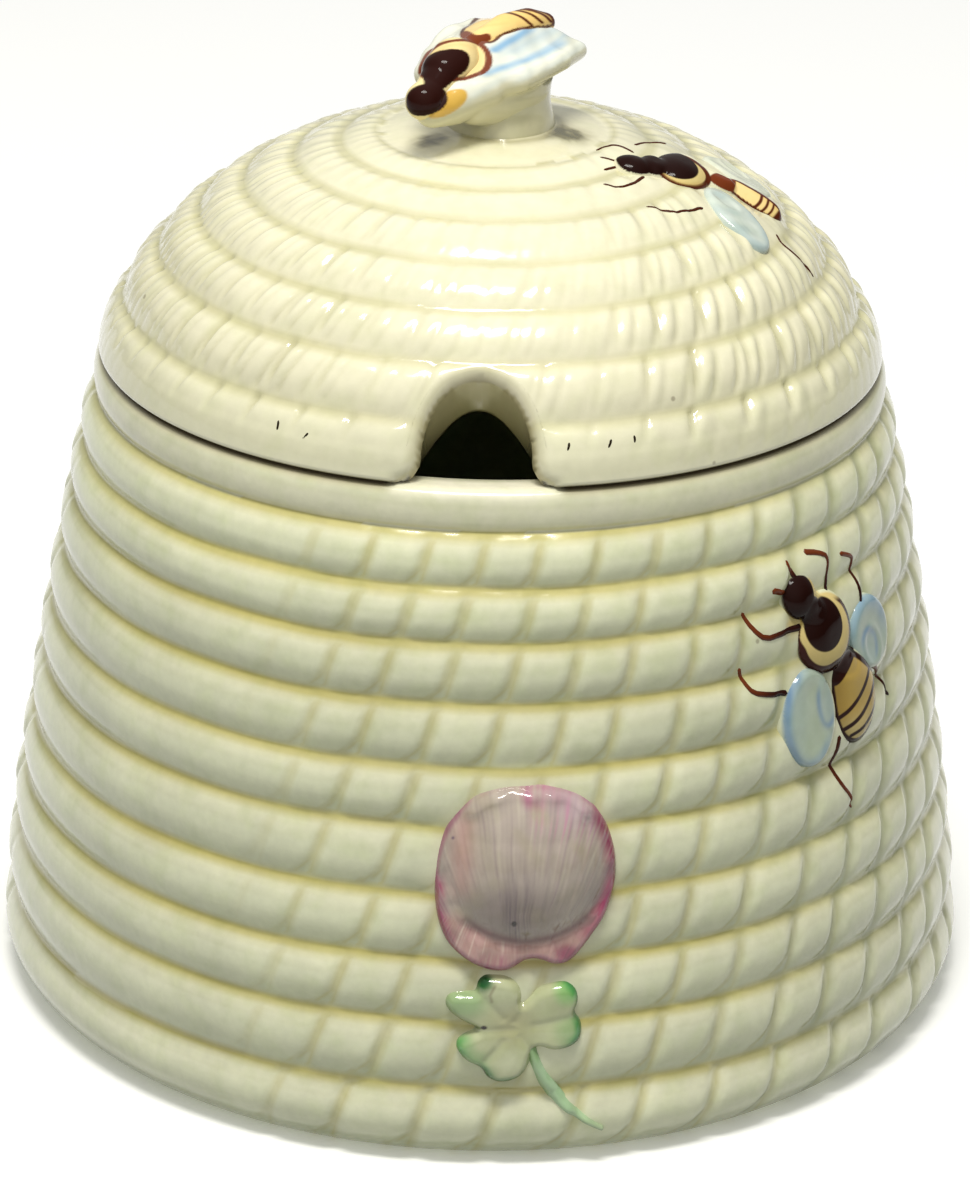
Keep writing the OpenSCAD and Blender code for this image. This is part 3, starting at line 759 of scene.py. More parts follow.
def smooth_line(pts, n=3):
    p = np.asarray(pts, float)
    for _ in range(n):
        q = np.concatenate([p[:1], np.stack([0.75 * p[:-1] + 0.25 * p[1:], 0.25 * p[:-1] + 0.75 * p[1:]], 1).reshape(-1, 2), p[-1:]])
        p = q
    return [tuple(a) for a in p]


def bump(d, w, h):
    """height of a rounded swelling: h inside, falling to 0 at the edge and steeply below it outside"""
    s = np.clip(-d / w, 0, 1)
    return np.where(d < 0, h * (1 - (1 - s) ** 2.2) ** 0.9, -d * 2.4)


def smax_all(k, *hs):
    out = hs[0]
    for h in hs[1:]:
        out = smax(out, h, k)
    return out


def edge(d, w=0.09):
    """1 inside, 0 outside, with a soft edge of w mm"""
    return sm(w, -w, d)


def pot_host(az0, z0, r0, follow, over=False):
    def f(x, y, off):
        az = az0 + x / r0 / RAD
        z = z0 + y
        act = pot_wall(az, z, 1.0)
        i = np.clip(np.searchsorted(VZ, z, side="right") - 1, 0, 10)
        t = (z - VZ[i]) / (VZ[i + 1] - VZ[i])
        env = VR[i] + (VR[i + 1] - VR[i]) * t + 0.9
        r = env * (1 - follow) + act * follow + off
        if over:
            r = np.maximum(r, act + off - 0.05)
        return np.stack([r * np.cos(az * RAD), r * np.sin(az * RAD), z], -1)
    return f




def lid_host(follow):
    def f(x, y, off):
        P = LP0 + x[..., None] * LX + y[..., None] * LY
        az = np.degrees(np.arctan2(P[..., 1], P[..., 0]))
        phi = np.degrees(np.arctan2((P[..., 2] - LC) / LA, np.hypot(P[..., 0], P[..., 1]) / LB))
        return dome(az, phi, lid_h(az, phi) * follow + 0.6 * (1 - follow) + off)
    return f


def relief(name, host, H, paint, box, step, cut=1.0, lean=(0.0, 0.0)):
    """closed piece whose top is the host surface raised by H(x, y), ending where H falls to -cut under the host"""
    x0, x1, y0, y1 = box
    xs = np.arange(x0, x1 + step, step); ys = np.arange(y0, y1 + step, step)
    X, Y = np.meshgrid(xs, ys, indexing="ij")
    h = H(X, Y)
    keep = h > -cut
    quad = keep[:-1, :-1] & keep[1:, :-1] & keep[1:, 1:] & keep[:-1, 1:]
    # keep the largest region only
    nx, ny = X.shape
    used = np.zeros((nx, ny), bool)
    for a, b in ((0, 0), (1, 0), (1, 1), (0, 1)):
        used[a:nx - 1 + a, b:ny - 1 + b] |= quad
    cnt = np.zeros((nx, ny), int)
    for a, b in ((0, 0), (1, 0), (1, 1), (0, 1)):
        cnt[a:nx - 1 + a, b:ny - 1 + b] += quad
    rim = used & (cnt < 4)
    px, py = X.copy(), Y.copy()
    e = 0.01
    for _ in range(4):
        hx = H(px[rim], py[rim]); gx = (H(px[rim] + e, py[rim]) - hx) / e; gy = (H(px[rim], py[rim] + e) - hx) / e
        g2 = gx * gx + gy * gy + 1e-6
        k = np.clip((hx + cut) / g2, -step, step)
        px[rim] -= np.clip(k * gx, -0.4 * step, 0.4 * step); py[rim] -= np.clip(k * gy, -0.4 * step, 0.4 * step)
    idx = -np.ones((nx, ny), int)
    idx[used] = np.arange(used.sum())
    n = used.sum()
    ux, uy = px[used], py[used]
    hh = np.maximum(H(ux, uy), -cut)
    top = host(ux, uy, hh)
    low = host(ux, uy, np.full(n, -cut - 0.45))
    up_ = np.clip(hh, 0, 3.0)
    col = paint(ux + lean[0] * up_, uy + lean[1] * up_, hh)
    I, J = np.nonzero(quad)
    a, b, c, d = idx[I, J], idx[I + 1, J], idx[I + 1, J + 1], idx[I, J + 1]
    faces = np.stack([a, b, c, d], 1)
    back = np.stack([d, c, b, a], 1) + n
    fs = faces.tolist() + back.tolist()
    # walls along the rim
    edges = {}
    for q in faces.tolist():
        for s_, t_ in zip(q, q[1:] + q[:1]):
            if (t_, s_) in edges:
                del edges[(t_, s_)]
            else:
                edges[(s_, t_)] = 1
    fs += [(t_, s_, s_ + n, t_ + n) for s_, t_ in edges]
    ob = make_mesh(name, np.vstack([top, low]), fs, np.vstack([col, col]))
    return outward(ob)


def stroke(name, host, pts, w0, w1, lift, col, wmid=None, smooth_n=2, blunt=False):
    """thin raised brush line along a path on the host, w0 and w1 are its widths at the ends"""
    p = np.asarray(smooth_line(pts, smooth_n), float)
    seg = np.hypot(*np.diff(p, axis=0).T)
    s = np.concatenate([[0], np.cumsum(seg)])
    n = max(8, int(s[-1] / 0.22))
    t = np.linspace(0, s[-1], n)
    x = np.interp(t, s, p[:, 0]); y = np.interp(t, s, p[:, 1])
    tx = np.gradient(x); ty = np.gradient(y); l = np.hypot(tx, ty) + 1e-9
    nx, ny = -ty / l, tx / l
    u = t / s[-1]
    w = 0.5 * (w0 + (w1 - w0) * u) if wmid is None else 0.5 * np.interp(u, [0, 0.5, 1], [w0, wmid, w1])
    cap = np.sqrt(np.clip(1 - (1 - np.minimum(t, s[-1] - t) / 0.25).clip(0, 1) ** 2, 0.05, 1))
    w = w * cap
    prof = [(-1.0, -0.35), (-0.82, 0.02), (-0.45, 0.78), (0, 1.0), (0.45, 0.78), (0.82, 0.02), (1.0, -0.35), (0.6, -1.6), (-0.6, -1.6)]
    rings = []
    for a, b in prof:
        off = np.where(b > 0, b * lift * cap, b * 0.3)
        rings.append(host(x + nx * w * a, y + ny * w * a, off))
    k = len(prof)
    V = np.stack(rings, 1).reshape(-1, 3)
    F = []
    for i in range(n - 1):
        for j in range(k):
            j2 = (j + 1) % k
            F.append((i * k + j, i * k + j2, (i + 1) * k + j2, (i + 1) * k + j))
    F.append(tuple(range(k))[::-1])
    F.append(tuple((n - 1) * k + j for j in range(k)))
    c = np.tile(np.asarray(col, float), (n, 1)) if np.ndim(col) == 1 else col(u)
    C = np.repeat(c, k, 0)
    return outward(make_mesh(name, V, F, C))


def join(name, obs):
    """one object from several closed pieces"""
    bm = bmesh.new()
    for o in obs:
        bm.from_mesh(o.data)
    me = bpy.data.meshes.new(name)
    bm.to_mesh(me); bm.free()
    for o in obs:
        bpy.data.objects.remove(o)
    ob = bpy.data.objects.new(name, me)
    bpy.context.scene.collection.objects.link(ob)
    return ob


DARK = lin("#200a06")
DARK2 = lin("#2c100b")
BROWN = lin("#5a2611")
REDBROWN = lin("#7c3a1c")
CRESC = lin("#dcc685")
GOLD = lin("#d6a950")
PALEGOLD = lin("#f0d287")
BLUE = lin("#8fb2cf")
PALEBLUE = lin("#bdd0cc")
WHITE = lin("#f3f4e6")

# ---- bee on the pot; shapes in mm, x round the wall, y up
PB = (-41.3, 49.5, 49.4)
pb_flat = pot_host(*PB, 0.1)
pb_line = pot_host(*PB, 1.0)


def q(px, py):
    return ((px / 20.0 - 48.7) * 0.862, 26.5 - py / 20.0)


PB_HEAD = dict(cx=-3.1, cy=8.6, a=2.3, b=2.35, tilt=-15)
PB_THOR = dict(cx=0.1, cy=4.95, a=3.35, b=2.75, tilt=-38)
PB_CRES = dict(cx=0.25, cy=3.75, a=4.4, b=4.35, tilt=-30)
PB_ABD = rounded([(0.45, -0.9), (0.5, -3.4), (0.7, -6.1), (1.6, -8.7), (3.6, -10.0), (5.8, -9.3), (7.2, -7.8), (8.1, -5.6), (8.2, -3.4), (7.1, -1.0), (4.9, 1.0), (2.6, 0.6)], 3)
LEAN_P = (1.05, -0.34)


def pb_h(x, y):
    head = bump(ell(x, y, **PB_HEAD), 2.0, 1.15)
    neck = bump(ell(x, y, -1.7, 6.9, 2.0, 1.9, -48), 1.6, 1.1)
    thor = bump(ell(x, y, **PB_CRES), 3.4, 1.5)
    abd = bump(poly_d(x, y, PB_ABD), 3.0, 1.2)
    waist = bump(ell(x, y, 2.7, 0.0, 1.9, 1.7, -30), 1.5, 0.95)
    return smax_all(0.6, head, neck, thor, abd, waist) + 0.2


def pb_paint(x, y, h):
    n = len(x)
    dc = ell(x, y, **PB_CRES)
    da = poly_d(x, y, PB_ABD)
    side = (y < 0.55 - 0.80 * (x - 4.35))
    c = np.tile(IVORY_POT, (n, 1))
    c = mixc(c, CRESC, edge(dc, 0.12))
    g = mixc(mixc(lin("#b3954b"), lin("#c7a962"), sm(1.5, 6.5, x)), lin("#dcc88e"), sm(-5.2, -8.2, y) * 0.8)
    g = mixc(g, lin("#8e6f35"), 0.35 * sm(-0.4, -2.2, y) * sm(3.8, 1.4, x))
    c = np.where((side & (da < 0.1) & (dc > -0.1))[:, None], g, c)
    for st, wd in (([q(1000, 652), q(1050, 640), q(1110, 610), q(1160, 560)], 0.26), ([q(1016, 682), q(1070, 672), q(1125, 645), q(1166, 604)], 0.26), ([q(1040, 702), q(1095, 694), q(1140, 672), q(1164, 645)], 0.22)):
        c = mixc(c, DARK2, edge(line_d(x, y, smooth_line(st)) - wd, 0.08) * side)
    # outline of the abdomen, strongest on the left
    c = mixc(c, DARK2, edge(line_d(x, y, smooth_line([q(984, 545), q(986, 600), q(990, 655), q(1014, 702), q(1056, 724), q(1100, 720), q(1130, 700)])) - 0.46, 0.08))
    c = mixc(c, DARK2, edge(line_d(x, y, smooth_line([q(1075, 520), q(1115, 545), q(1162, 585)])) - 0.30, 0.08))
    c = mixc(c, DARK2, edge(line_d(x, y, smooth_line([q(1162, 588), q(1168, 622), q(1158, 662), q(1130, 700)])) - 0.12, 0.07) * 0.85)
    # waist
    c = mixc(c, DARK2, edge(poly_d(x, y, rounded([q(972, 545), q(1030, 516), q(1078, 494), q(1100, 518), q(1068, 545), q(1034, 568), q(1004, 580), q(976, 574)], 2)), 0.08))
    # outline of the crescent: thin above, a full brush stroke low on the left
    low = sm(6.4, 4.2, y - 0.5 * x) * sm(3.6, 1.2, x)
    c = mixc(c, lin("#3a130c"), edge(np.abs(dc + 0.12 + 0.30 * low) - (0.20 + 0.42 * low), 0.08) * sm(7.7, 7.0, y + 0.15 * x))
    # a touch of ochre beside the head
    c = mixc(c, lin("#cfb468"), np.clip(edge(ell(x, y, -0.7, 9.3, 1.2, 1.8, -20), 0.4) * 0.85 + edge(ell(x, y, -4.6, 6.6, 1.9, 1.2, -10), 0.3) * 0.95, 0, 1))
    # thorax, neck and head in one dark stroke
    dt = ell(x, y, **PB_THOR)
    neck = ell(x, y, -1.75, 6.9, 1.9, 1.75, -48)
    c = mixc(c, DARK, edge(np.minimum(dt, np.minimum(neck, ell(x, y, -3.25, 8.65, 2.4, 2.4, -15))), 0.08))
    return c


pot_bee = relief("pot_bee_painted", pb_flat, pb_h, pb_paint, (-6.5, 9.5, -11, 11.9), 0.075, 0.8, LEAN_P)
use(pot_bee, PAINT, "pot", "bee_paint", "pot_bee_body")

PW_L = dict(cx=-3.55, cy=-4.65, a=3.8, b=5.3, tilt=-3)
PW_R = dict(cx=8.55, cy=1.2, a=3.85, b=4.0, tilt=16)
PW_LL = dict(cx=-0.6, cy=-3.4, a=1.5, b=3.0, tilt=0)
PW_RL = dict(cx=8.2, cy=-0.1, a=1.7, b=2.1, tilt=10)


def wing_h(e, h, lobe, lift=0.0):
    def f(x, y):
        d = ell(x, y, **e)
        return bump(d, 0.7, h) + lift + (0.08 * np.exp(-(ell(x, y, **lobe) / 0.4) ** 2) - 0.10 * sm(-0.8, -2.6, d)) * (d < 0)
    return f


def pwl_paint(x, y, h):
    d = ell(x, y, **PW_L)
    c = np.tile(lin("#b1bfa8"), (len(x), 1))
    left = sm(0.8, -2.8, x - PW_L["cx"] - 0.10 * (y - PW_L["cy"]))
    c = mixc(c, lin("#9bb6bb"), left * 0.5)
    c = mixc(c, lin("#6688ad"), sm(-2.0, -0.25, d) * (0.12 + 0.88 * left) * 0.9)
    c = mixc(c, lin("#7c9dba"), sm(-1.3, -0.2, d) * sm(-6.5, -8.5, y) * 0.6)
    lo = ell(x, y, **PW_LL)
    c = mixc(c, lin("#9ab0ae"), edge(lo, 0.3) * 0.5)
    c = mixc(c, lin("#6487ad"), np.exp(-((lo + 0.25) / 0.42) ** 2) * np.maximum(sm(-0.4, -1.6, x) * sm(-1.2, -2.6, y), sm(-4.6, -6.0, y)) * 0.7)
    streak = 0.5 + 0.5 * np.sin(x * 3.1 + 0.25 * y + 0.8 * np.sin(y * 0.9))
    c = mixc(c, lin("#c2d0c0"), streak * 0.22)
    return mixc(c, IVORY_POT, sm(0.04, 0.32, d))


def pwr_paint(x, y, h):
    d = ell(x, y, **PW_R)
    c = np.tile(lin("#a8b9a8"), (len(x), 1))
    c = mixc(c, lin("#7399bb"), sm(-2.2, -0.3, d) * sm(-1, 3.0, y) * 0.7)
    lo = ell(x, y, **PW_RL)
    c = mixc(c, lin("#90abb2"), edge(lo, 0.3) * 0.5)
    c = mixc(c, lin("#6088b0"), np.exp(-((lo + 0.3) / 0.45) ** 2) * np.maximum(sm(-0.6, 1.2, y), sm(8.8, 9.8, x)) * 0.75)
    streak = 0.5 + 0.5 * np.sin(x * 2.3 - y * 1.2 + 0.7 * np.sin(y))
    c = mixc(c, lin("#b8c8ba"), streak * 0.2)
    return mixc(c, IVORY_POT, sm(0.02, 0.3, d))


use(relief("pot_bee_left_wing", pot_host(*PB, 0.0), wing_h(PW_L, 0.42, PW_LL, 0.30), pwl_paint, (-9, 2.5, -11.5, 3), 0.10, 0.8, LEAN_P), WASH, "pot", "wing_paint", "pot_bee_wing_left")
use(relief("pot_bee_right_wing", pot_host(*PB, 0.0), wing_h(PW_R, 0.42, PW_RL, 0.30), pwr_paint, (2.5, 15, -5, 9), 0.10, 0.8, LEAN_P), WASH, "pot", "wing_paint", "pot_bee_wing_right")

legs = []
for i, (pts, w0, w1) in enumerate([
        ([q(868, 272), q(878, 292), q(897, 322)], 0.55, 0.6),
        ([q(802, 322), q(830, 332), q(920, 366)], 0.75, 0.6),
        ([q(712, 358), q(730, 394), q(764, 420), q(820, 420), q(892, 420)], 0.5, 0.8),
        ([q(685, 472), q(696, 506), q(712, 527), q(760, 540), q(824, 552)], 0.45, 0.7),
        ([q(942, 270), q(990, 280), q(1026, 296), q(1020, 340), q(1004, 404)], 0.6, 0.5),
        ([q(1085, 306), q(1130, 322), q(1150, 334), q(1150, 386), q(1148, 446)], 0.55, 0.45),
        ([q(994, 690), q(978, 732), q(970, 768), q(984, 800), q(1012, 832), q(1036, 874)], 0.7, 0.35),
        ([q(1166, 580), q(1200, 600), q(1226, 630), q(1256, 682)], 0.65, 0.4)]):
    lc = mixc(REDBROWN, DARK2, 0.45)
    legs.append(stroke(f"pot_bee_leg_{i}", pb_line, pts, w0 * 1.15, w1 * 1.15, 0.16, lambda u, lc=lc: mixc(np.tile(REDBROWN * 0.8, (len(u), 1)), DARK2, sm(0.2, 0.8, u) if i != 6 else sm(0.8, 0.2, u) * 0.8), smooth_n=1))
pb_legs = join("pot_bee_legs", legs)
use(pb_legs, PAINT, "pot", "bee_paint")

# ---- clover flower
FL = (-84.5, 33.2, 53.0)
FL_OUT = rounded([(0.2, 9.9), (3.3, 9.7), (6.4, 8.5), (8.6, 5.8), (9.8, 2.2), (9.7, -1.2), (8.6, -4.3), (7.1, -6.5), (5.8, -8.2), (4.5, -9.6), (2.8, -9.8), (1.2, -9.0),
                  (-0.2, -9.1), (-1.0, -9.7), (-2.4, -10.4), (-4.8, -10.1), (-7.3, -8.6), (-9.0, -6.6), (-9.9, -3.4), (-10.0, 1.0), (-9.4, 4.2), (-7.8, 7.0), (-5.6, 9.0), (-2.9, 9.8)], 2)
FL_BALL = dict(cx=-0.1, cy=1.35, a=9.55, b=8.3, tilt=0)


def fl_h(x, y):
    d = poly_d(x, y, FL_OUT)
    ang = np.arctan2(y - 1, x)
    lip = bump(d, 1.2, 1.25 + 0.16 * np.sin(ang * 9 + 1) + 0.12 * np.sin(ang * 17))
    k = ell(x, y, **FL_BALL)
    s_ = np.clip(-k / 8.3, 0, 1)
    ball = np.where(k < 0, 3.6 * (1 - (1 - s_) ** 2.3) ** 0.80, -k * 1.6)
    groove = 0.30 * np.exp(-((k - 0.1) / 0.6) ** 2) * sm(-3.0, -5.5, y)
    a = (x + 1.3) / (y + 19.0)
    st = 0.022 * (np.sin(a * 95 + 1) + 0.6 * np.sin(a * 171 + 2.1) + 0.5 * np.sin(a * 57))
    return smax(lip, ball, 0.5) - groove + st * (d < -0.5)


def fl_paint(x, y, h):
    d = poly_d(x, y, FL_OUT)
    yy = y + 0.55 * np.clip(h, 0, 3.6)
    ang = np.degrees(np.arctan2(y, x))
    a = (x + 1.3 + 0.06 * np.sin(y * 0.9)) / (np.abs(y + 4.6) + 12.0)
    r = np.random.RandomState(41)
    s_ = sum(np.sin(a * f + 0.35 * np.sin(y * 0.30 + f) + r.uniform(0, 6.3)) * r.uniform(0.4, 1) * (0.7 + 0.5 * np.sin(y * 0.5 + f)) for f in (17, 37, 61, 83, 117, 151, 197, 233, 281)) / 3.0
    s2 = sum(np.sin(a * f + y * 0.2 + r.uniform(0, 6.3)) * r.uniform(0.4, 1) * (0.7 + 0.5 * np.sin(y * 0.7 + f)) for f in (23, 41, 71, 97, 181, 263)) / 2.6
    bl = sum(np.sin(x * r.uniform(0.5, 2.2) + y * r.uniform(-1.6, 1.6) + r.uniform(0, 6.3)) for f in range(7)) / 4.0
    c = np.tile(lin("#b5a79c"), (len(x), 1))
    c = mixc(c, lin("#c9bdac"), sm(0.0, 1.0, s_) * 0.6)
    c = mixc(c, lin("#927f84"), sm(0.1, 1.0, -s_) * 0.55)
    c = mixc(c, lin("#b2a58c"), sm(0.1, 1.0, bl) * 0.45)
    c = mixc(c, lin("#c0948a"), np.exp(-((x + 6.9) / 1.3) ** 2) * sm(8, 5, y) * sm(-4, -1, y) * 0.6)
    c = mixc(c, lin("#c6a9b6"), sm(0.5, 6.0, x) * sm(2.0, 8.5, y) * 0.7)
    c = mixc(c, lin("#b3859a"), sm(0.2, 1.1, s2) * 0.45 * sm(-5, 4, y) * sm(-1.5, 3, x))
    c = mixc(c, lin("#7a6298"), sm(0.75, 1.3, s2) * sm(0.2, 0.9, bl) * sm(0, 3, x) * sm(0, 4, y) * 0.75)
    # darker and more violet towards the eye of the flower
    rad = np.hypot((x + 1.2) / 1.35, (y + 4.2))
    c = mixc(c, lin("#7a676a"), sm(5.2, 0.6, rad) * np.clip(0.55 + 0.3 * s_, 0, 1))
    # painted shade: the ball's lower right flank greyer and darker
    c = mixc(c, lin("#84706c"), sm(4.0, 8.0, x) * sm(3.0, -3.0, y) * 0.5)
    c = mixc(c, lin("#5d4a5c"), sm(1.5, 0.2, np.abs(x + 1.2) / (1 + 0.12 * (y + 6))) * sm(3.5, -3.5, y) * np.clip(0.3 + 0.5 * s2, 0, 1))
    # lip below the groove
    k = ell(x, y, **dict(cx=-0.1, cy=1.6, a=9.1, b=8.7, tilt=0))
    lip = sm(-0.1, 0.5, k) * sm(-2.0, -4.5, y - 0.15 * x)
    c = mixc(c, lin("#c39a94"), lip * 0.85)
    c = mixc(c, lin("#e3cfc0"), lip * sm(0.1, 0.9, s_) * 0.65 * sm(2, -4, x))
    c = mixc(c, lin("#b27c84"), lip * sm(0.1, 1.1, s2) * 0.5)
    # painted shade: a dark line in the groove along the lower part of the ball
    c = mixc(c, lin("#75484a"), np.exp(-((k - 0.0) / 0.4) ** 2) * sm(-2.5, -5.0, y) * sm(-8, -5, x) * 0.75)
    # washed edges
    rim = sm(-0.75, -0.05, d)
    side_ = 0.30 + 0.5 * sm(3.0, -2.0, y) + 0.35 * sm(5, 8, np.abs(x)) - 0.2 * sm(3, -3, x) * sm(4, 7, y)
    c = mixc(c, lin("#a5557c"), rim * np.clip(side_ + 0.25 * s2, 0, 1) * 0.85)
    c = mixc(c, lin("#8a2450"), sm(-2.3, -0.4, d) * sm(6.0, 8.0, x) * sm(8.0, 5.0, y) * sm(-6, -2.5, y) * np.clip(0.85 + 0.4 * s2, 0, 1))
    c = mixc(c, lin("#b0416f"), sm(-2.2, -0.3, d) * sm(4.0, 6.5, x) * sm(0.5, -2.0, y) * sm(-8.0, -6, y) * 0.6)
    c = mixc(c, lin("#a23a68"), sm(-1.8, -0.3, d) * sm(-6.4, -8.2, x) * sm(1.0, -1.5, y) * sm(-8.6, -6, y) * np.clip(0.8 + 0.4 * s2, 0, 1))
    c = mixc(c, lin("#9c5d7c"), sm(-0.9, -0.15, d) * sm(-6.5, -8.0, x) * sm(0, 3, y) * 0.6)
    c = mixc(c, lin("#b8628c"), sm(2.4, 0.4, np.hypot((x - 1.4) / 1.6, y - 8.8)) * np.clip(0.4 + 0.4 * s2 + 0.3 * bl, 0, 1))
    c = mixc(c, lin("#c77ba0"), sm(2.6, 0.8, np.hypot((x - 3.6) / 1.5, (y - 6.0) / 1.3)) * np.clip(0.1 + 0.6 * s2, 0, 1))
    c = mixc(c, lin("#93325c"), sm(1.5, 0.3, np.hypot((x - 4.2) / 1.3, y + 8.7)) * 0.8)
    c = mixc(c, lin("#a8506f"), sm(1.6, 0.3, np.hypot((x + 3.6) / 2.0, y + 9.5)) * np.clip(0.3 + 0.7 * s_, 0, 1))
    c = mixc(c, DARK, edge(np.hypot(x + 1.4, y + 5.25) - 0.27, 0.1))
    c = mixc(c, lin("#5b4763"), edge(np.hypot(x + 8.0, y - 4.0) - 0.16, 0.12) * 0.8)
    c = mixc(c, IVORY_POT, sm(0.0, 0.35, d))
    return np.clip(c, 0, 1)


use(relief("clover_flower_painted", pot_host(*FL, 0.25), fl_h, fl_paint, (-12, 12, -13, 12.5), 0.11, 1.1, (0.08, -0.52)), WASH, "pot", "clover_pink", "clover_flower")

# ---- clover leaf and stem
LF = (-85.6, 15.6, 55.0)
LF_OUT = rounded([(-2.4, 6.9), (-1.2, 6.8), (-0.1, 6.2), (0.5, 5.0), (0.4, 3.7), (1.2, 4.2), (2.3, 5.4), (3.9, 6.0), (5.4, 6.1), (6.5, 5.1), (6.7, 3.6), (6.1, 2.4), (7.0, 1.2), (7.0, -0.5), (5.8, -1.5),
                  (3.9, -1.8), (2.3, -1.1), (1.6, -1.9), (1.3, -3.4), (0.4, -4.8), (-1.5, -5.4), (-3.1, -4.9), (-3.8, -3.5), (-5.4, -2.9), (-6.6, -1.4), (-6.3, -0.2), (-4.9, 0.5), (-4.2, 0.9),
                  (-6.0, 1.7), (-7.5, 2.8), (-7.9, 4.0), (-7.3, 5.0), (-5.6, 5.0), (-4.5, 5.0), (-4.3, 6.2), (-3.5, 6.9)], 2)


def lf_h(x, y):
    d = poly_d(x, y, LF_OUT)
    h = bump(d, 1.0, 0.95)
    for cx, cy in ((-5.7, 3.6), (-1.8, 5.2), (4.6, 4.4), (5.3, 0.4), (-5.0, -1.2), (-1.3, -3.5)):
        h = h + 0.22 * np.exp(-((x - cx) ** 2 + (y - cy) ** 2) / 2.2) * (d < 0)
    fold = line_d(x, y, [(-0.4, 0.9), (-4.0, 0.8)])
    for p in ((0.4, 3.7), (6.0, 2.2), (1.7, -1.6), (-3.4, -2.6), (-3.9, 4.9)):
        fold = np.minimum(fold, line_d(x, y, [(-0.4 + 0.35 * (p[0] + 0.4), 0.9 + 0.35 * (p[1] - 0.9)), p]))
    return h - (0.20 * np.exp(-((x - 0.0) ** 2 + (y - 0.9) ** 2) / 5.0) + 0.13 * np.exp(-(fold / 0.5) ** 2)) * (d < 0)


def lf_paint(x, y, h):
    d = poly_d(x, y, LF_OUT)
    c = np.tile(lin("#c3c89e"), (len(x), 1))
    c = mixc(c, lin("#b5b184"), sm(4.0, 0.5, np.hypot(x + 0.4, y - 1.2)) * 0.7)
    c = mixc(c, lin("#d4d7b6"), sm(2.4, 0.5, np.hypot(x + 1.5, y - 4.2)) * 0.5 + sm(2.2, 0.4, np.hypot(x + 0.7, y + 3.3)) * 0.5)

    def wash(col, cx, cy, rx, ry, amt, edgew=1.0):
        nonlocal c
        m = sm(1.0, 0.25, np.sqrt(((x - cx) / rx) ** 2 + ((y - cy) / ry) ** 2))
        c = mixc(c, lin(col), m * amt * (edgew + (1 - edgew) * sm(-1.2, -0.1, d)))
    wash("#a0bb86", -5.6, 3.7, 3.4, 2.6, 0.95)
    wash("#86a86c", -7.0, 3.4, 1.6, 2.4, 0.5, 0.3)
    wash("#2a6a33", -3.7, 6.0, 1.7, 1.5, 1.0)
    wash("#174c22", -3.6, 6.3, 1.1, 0.9, 0.9)
    wash("#7cc063", 5.4, 4.8, 2.1, 2.3, 0.95, 0.7)
    wash("#3f9a50", 6.0, 5.2, 1.5, 1.8, 0.9, 0.3)
    wash("#79ad68", 5.9, 0.3, 2.7, 2.6, 0.95, 0.45)
    wash("#348a48", 6.5, 0.1, 1.9, 2.2, 1.0, 0.12)
    wash("#5fae5c", -5.8, -1.3, 2.0, 2.0, 0.95, 0.5)
    wash("#7fb870", -4.2, -2.6, 1.9, 1.4, 0.7, 0.5)
    wash("#3f8a4c", -3.3, -4.2, 1.8, 1.5, 1.0, 0.25)
    wash("#8db27c", -1.0, -5.2, 2.8, 0.9, 0.7, 0.2)
    c = mixc(c, lin("#3f7a45"), sm(-0.5, -0.1, d) * 0.7 * np.maximum(sm(3.5, 6.0, x), sm(-2.5, -4.5, y) * sm(2, -1, x)))
    c = mixc(c, lin("#9aa27c"), edge(np.minimum(line_d(x, y, [(-2.4, -1.4), (-3.5, -2.7)]), line_d(x, y, [(0.2, 2.6), (0.4, 3.7)])) - 0.15, 0.35) * 0.5)
    c = mixc(c, lin("#3f5a34"), edge(line_d(x, y, [(-6.6, 1.9), (-5.0, 1.05), (-4.0, 0.85)]) - 0.16, 0.12) * 0.6)
    c = mixc(c, DARK, edge(ell(x, y, -3.5, 0.9, 0.34, 0.22), 0.1))
    c = mixc(c, lin("#7d6a52"), edge(line_d(x, y, [(-2.4, 5.6), (-2.9, 4.6), (-2.7, 3.9)]) - 0.12, 0.2) * 0.6)
    c = mixc(c, IVORY_POT, sm(0.0, 0.3, d))
    return np.clip(c, 0, 1)


use(relief("clover_leaf_painted", pot_host(*LF, 0.35), lf_h, lf_paint, (-9.5, 9, -7.5, 9), 0.12, 1.0, (0.08, -0.45)), WASH, "pot", "clover_green", "clover_leaf")


def stem_col(u):
    c = mixc(np.tile(lin("#8fb07a"), (len(u), 1)), lin("#aecda0"), sm(0.0, 0.25, u))
    return mixc(c, lin("#b4c69f"), sm(0.6, 1.0, u))


use(stroke("clover_stem_painted", pot_host(*LF, 0.5, True), [(1.4, -1.0), (1.8, -2.4), (2.5, -4.2), (3.5, -6.0), (4.8, -7.8), (6.3, -9.3), (7.9, -10.5), (9.5, -11.5)], 1.3, 0.75, 0.6, stem_col, 1.6), WASH, "pot", "clover_green", "clover_stem")

# ---- bee on the lid, x down the slope, y across
lb_flat = lid_host(0.3)
lb_line = lid_host(1.0)
LB_HEAD = dict(cx=-8.5, cy=-5.0, a=2.2, b=1.85, tilt=20)
LB_THOR = dict(cx=-4.6, cy=-0.2, a=2.45, b=3.45, tilt=-8)
LB_CRES = dict(cx=-3.75, cy=-1.1, a=3.1, b=3.7, tilt=-8)
LB_ABD = rounded([(0.0, 0.2), (2.2, 0.7), (4.6, 1.0), (7.0, 1.6), (8.4, 2.4), (8.6, 3.8), (7.4, 5.0), (4.6, 5.0), (1.6, 4.2), (0.0, 2.4)], 3)
LEAN_L = (-0.05, 2.45)


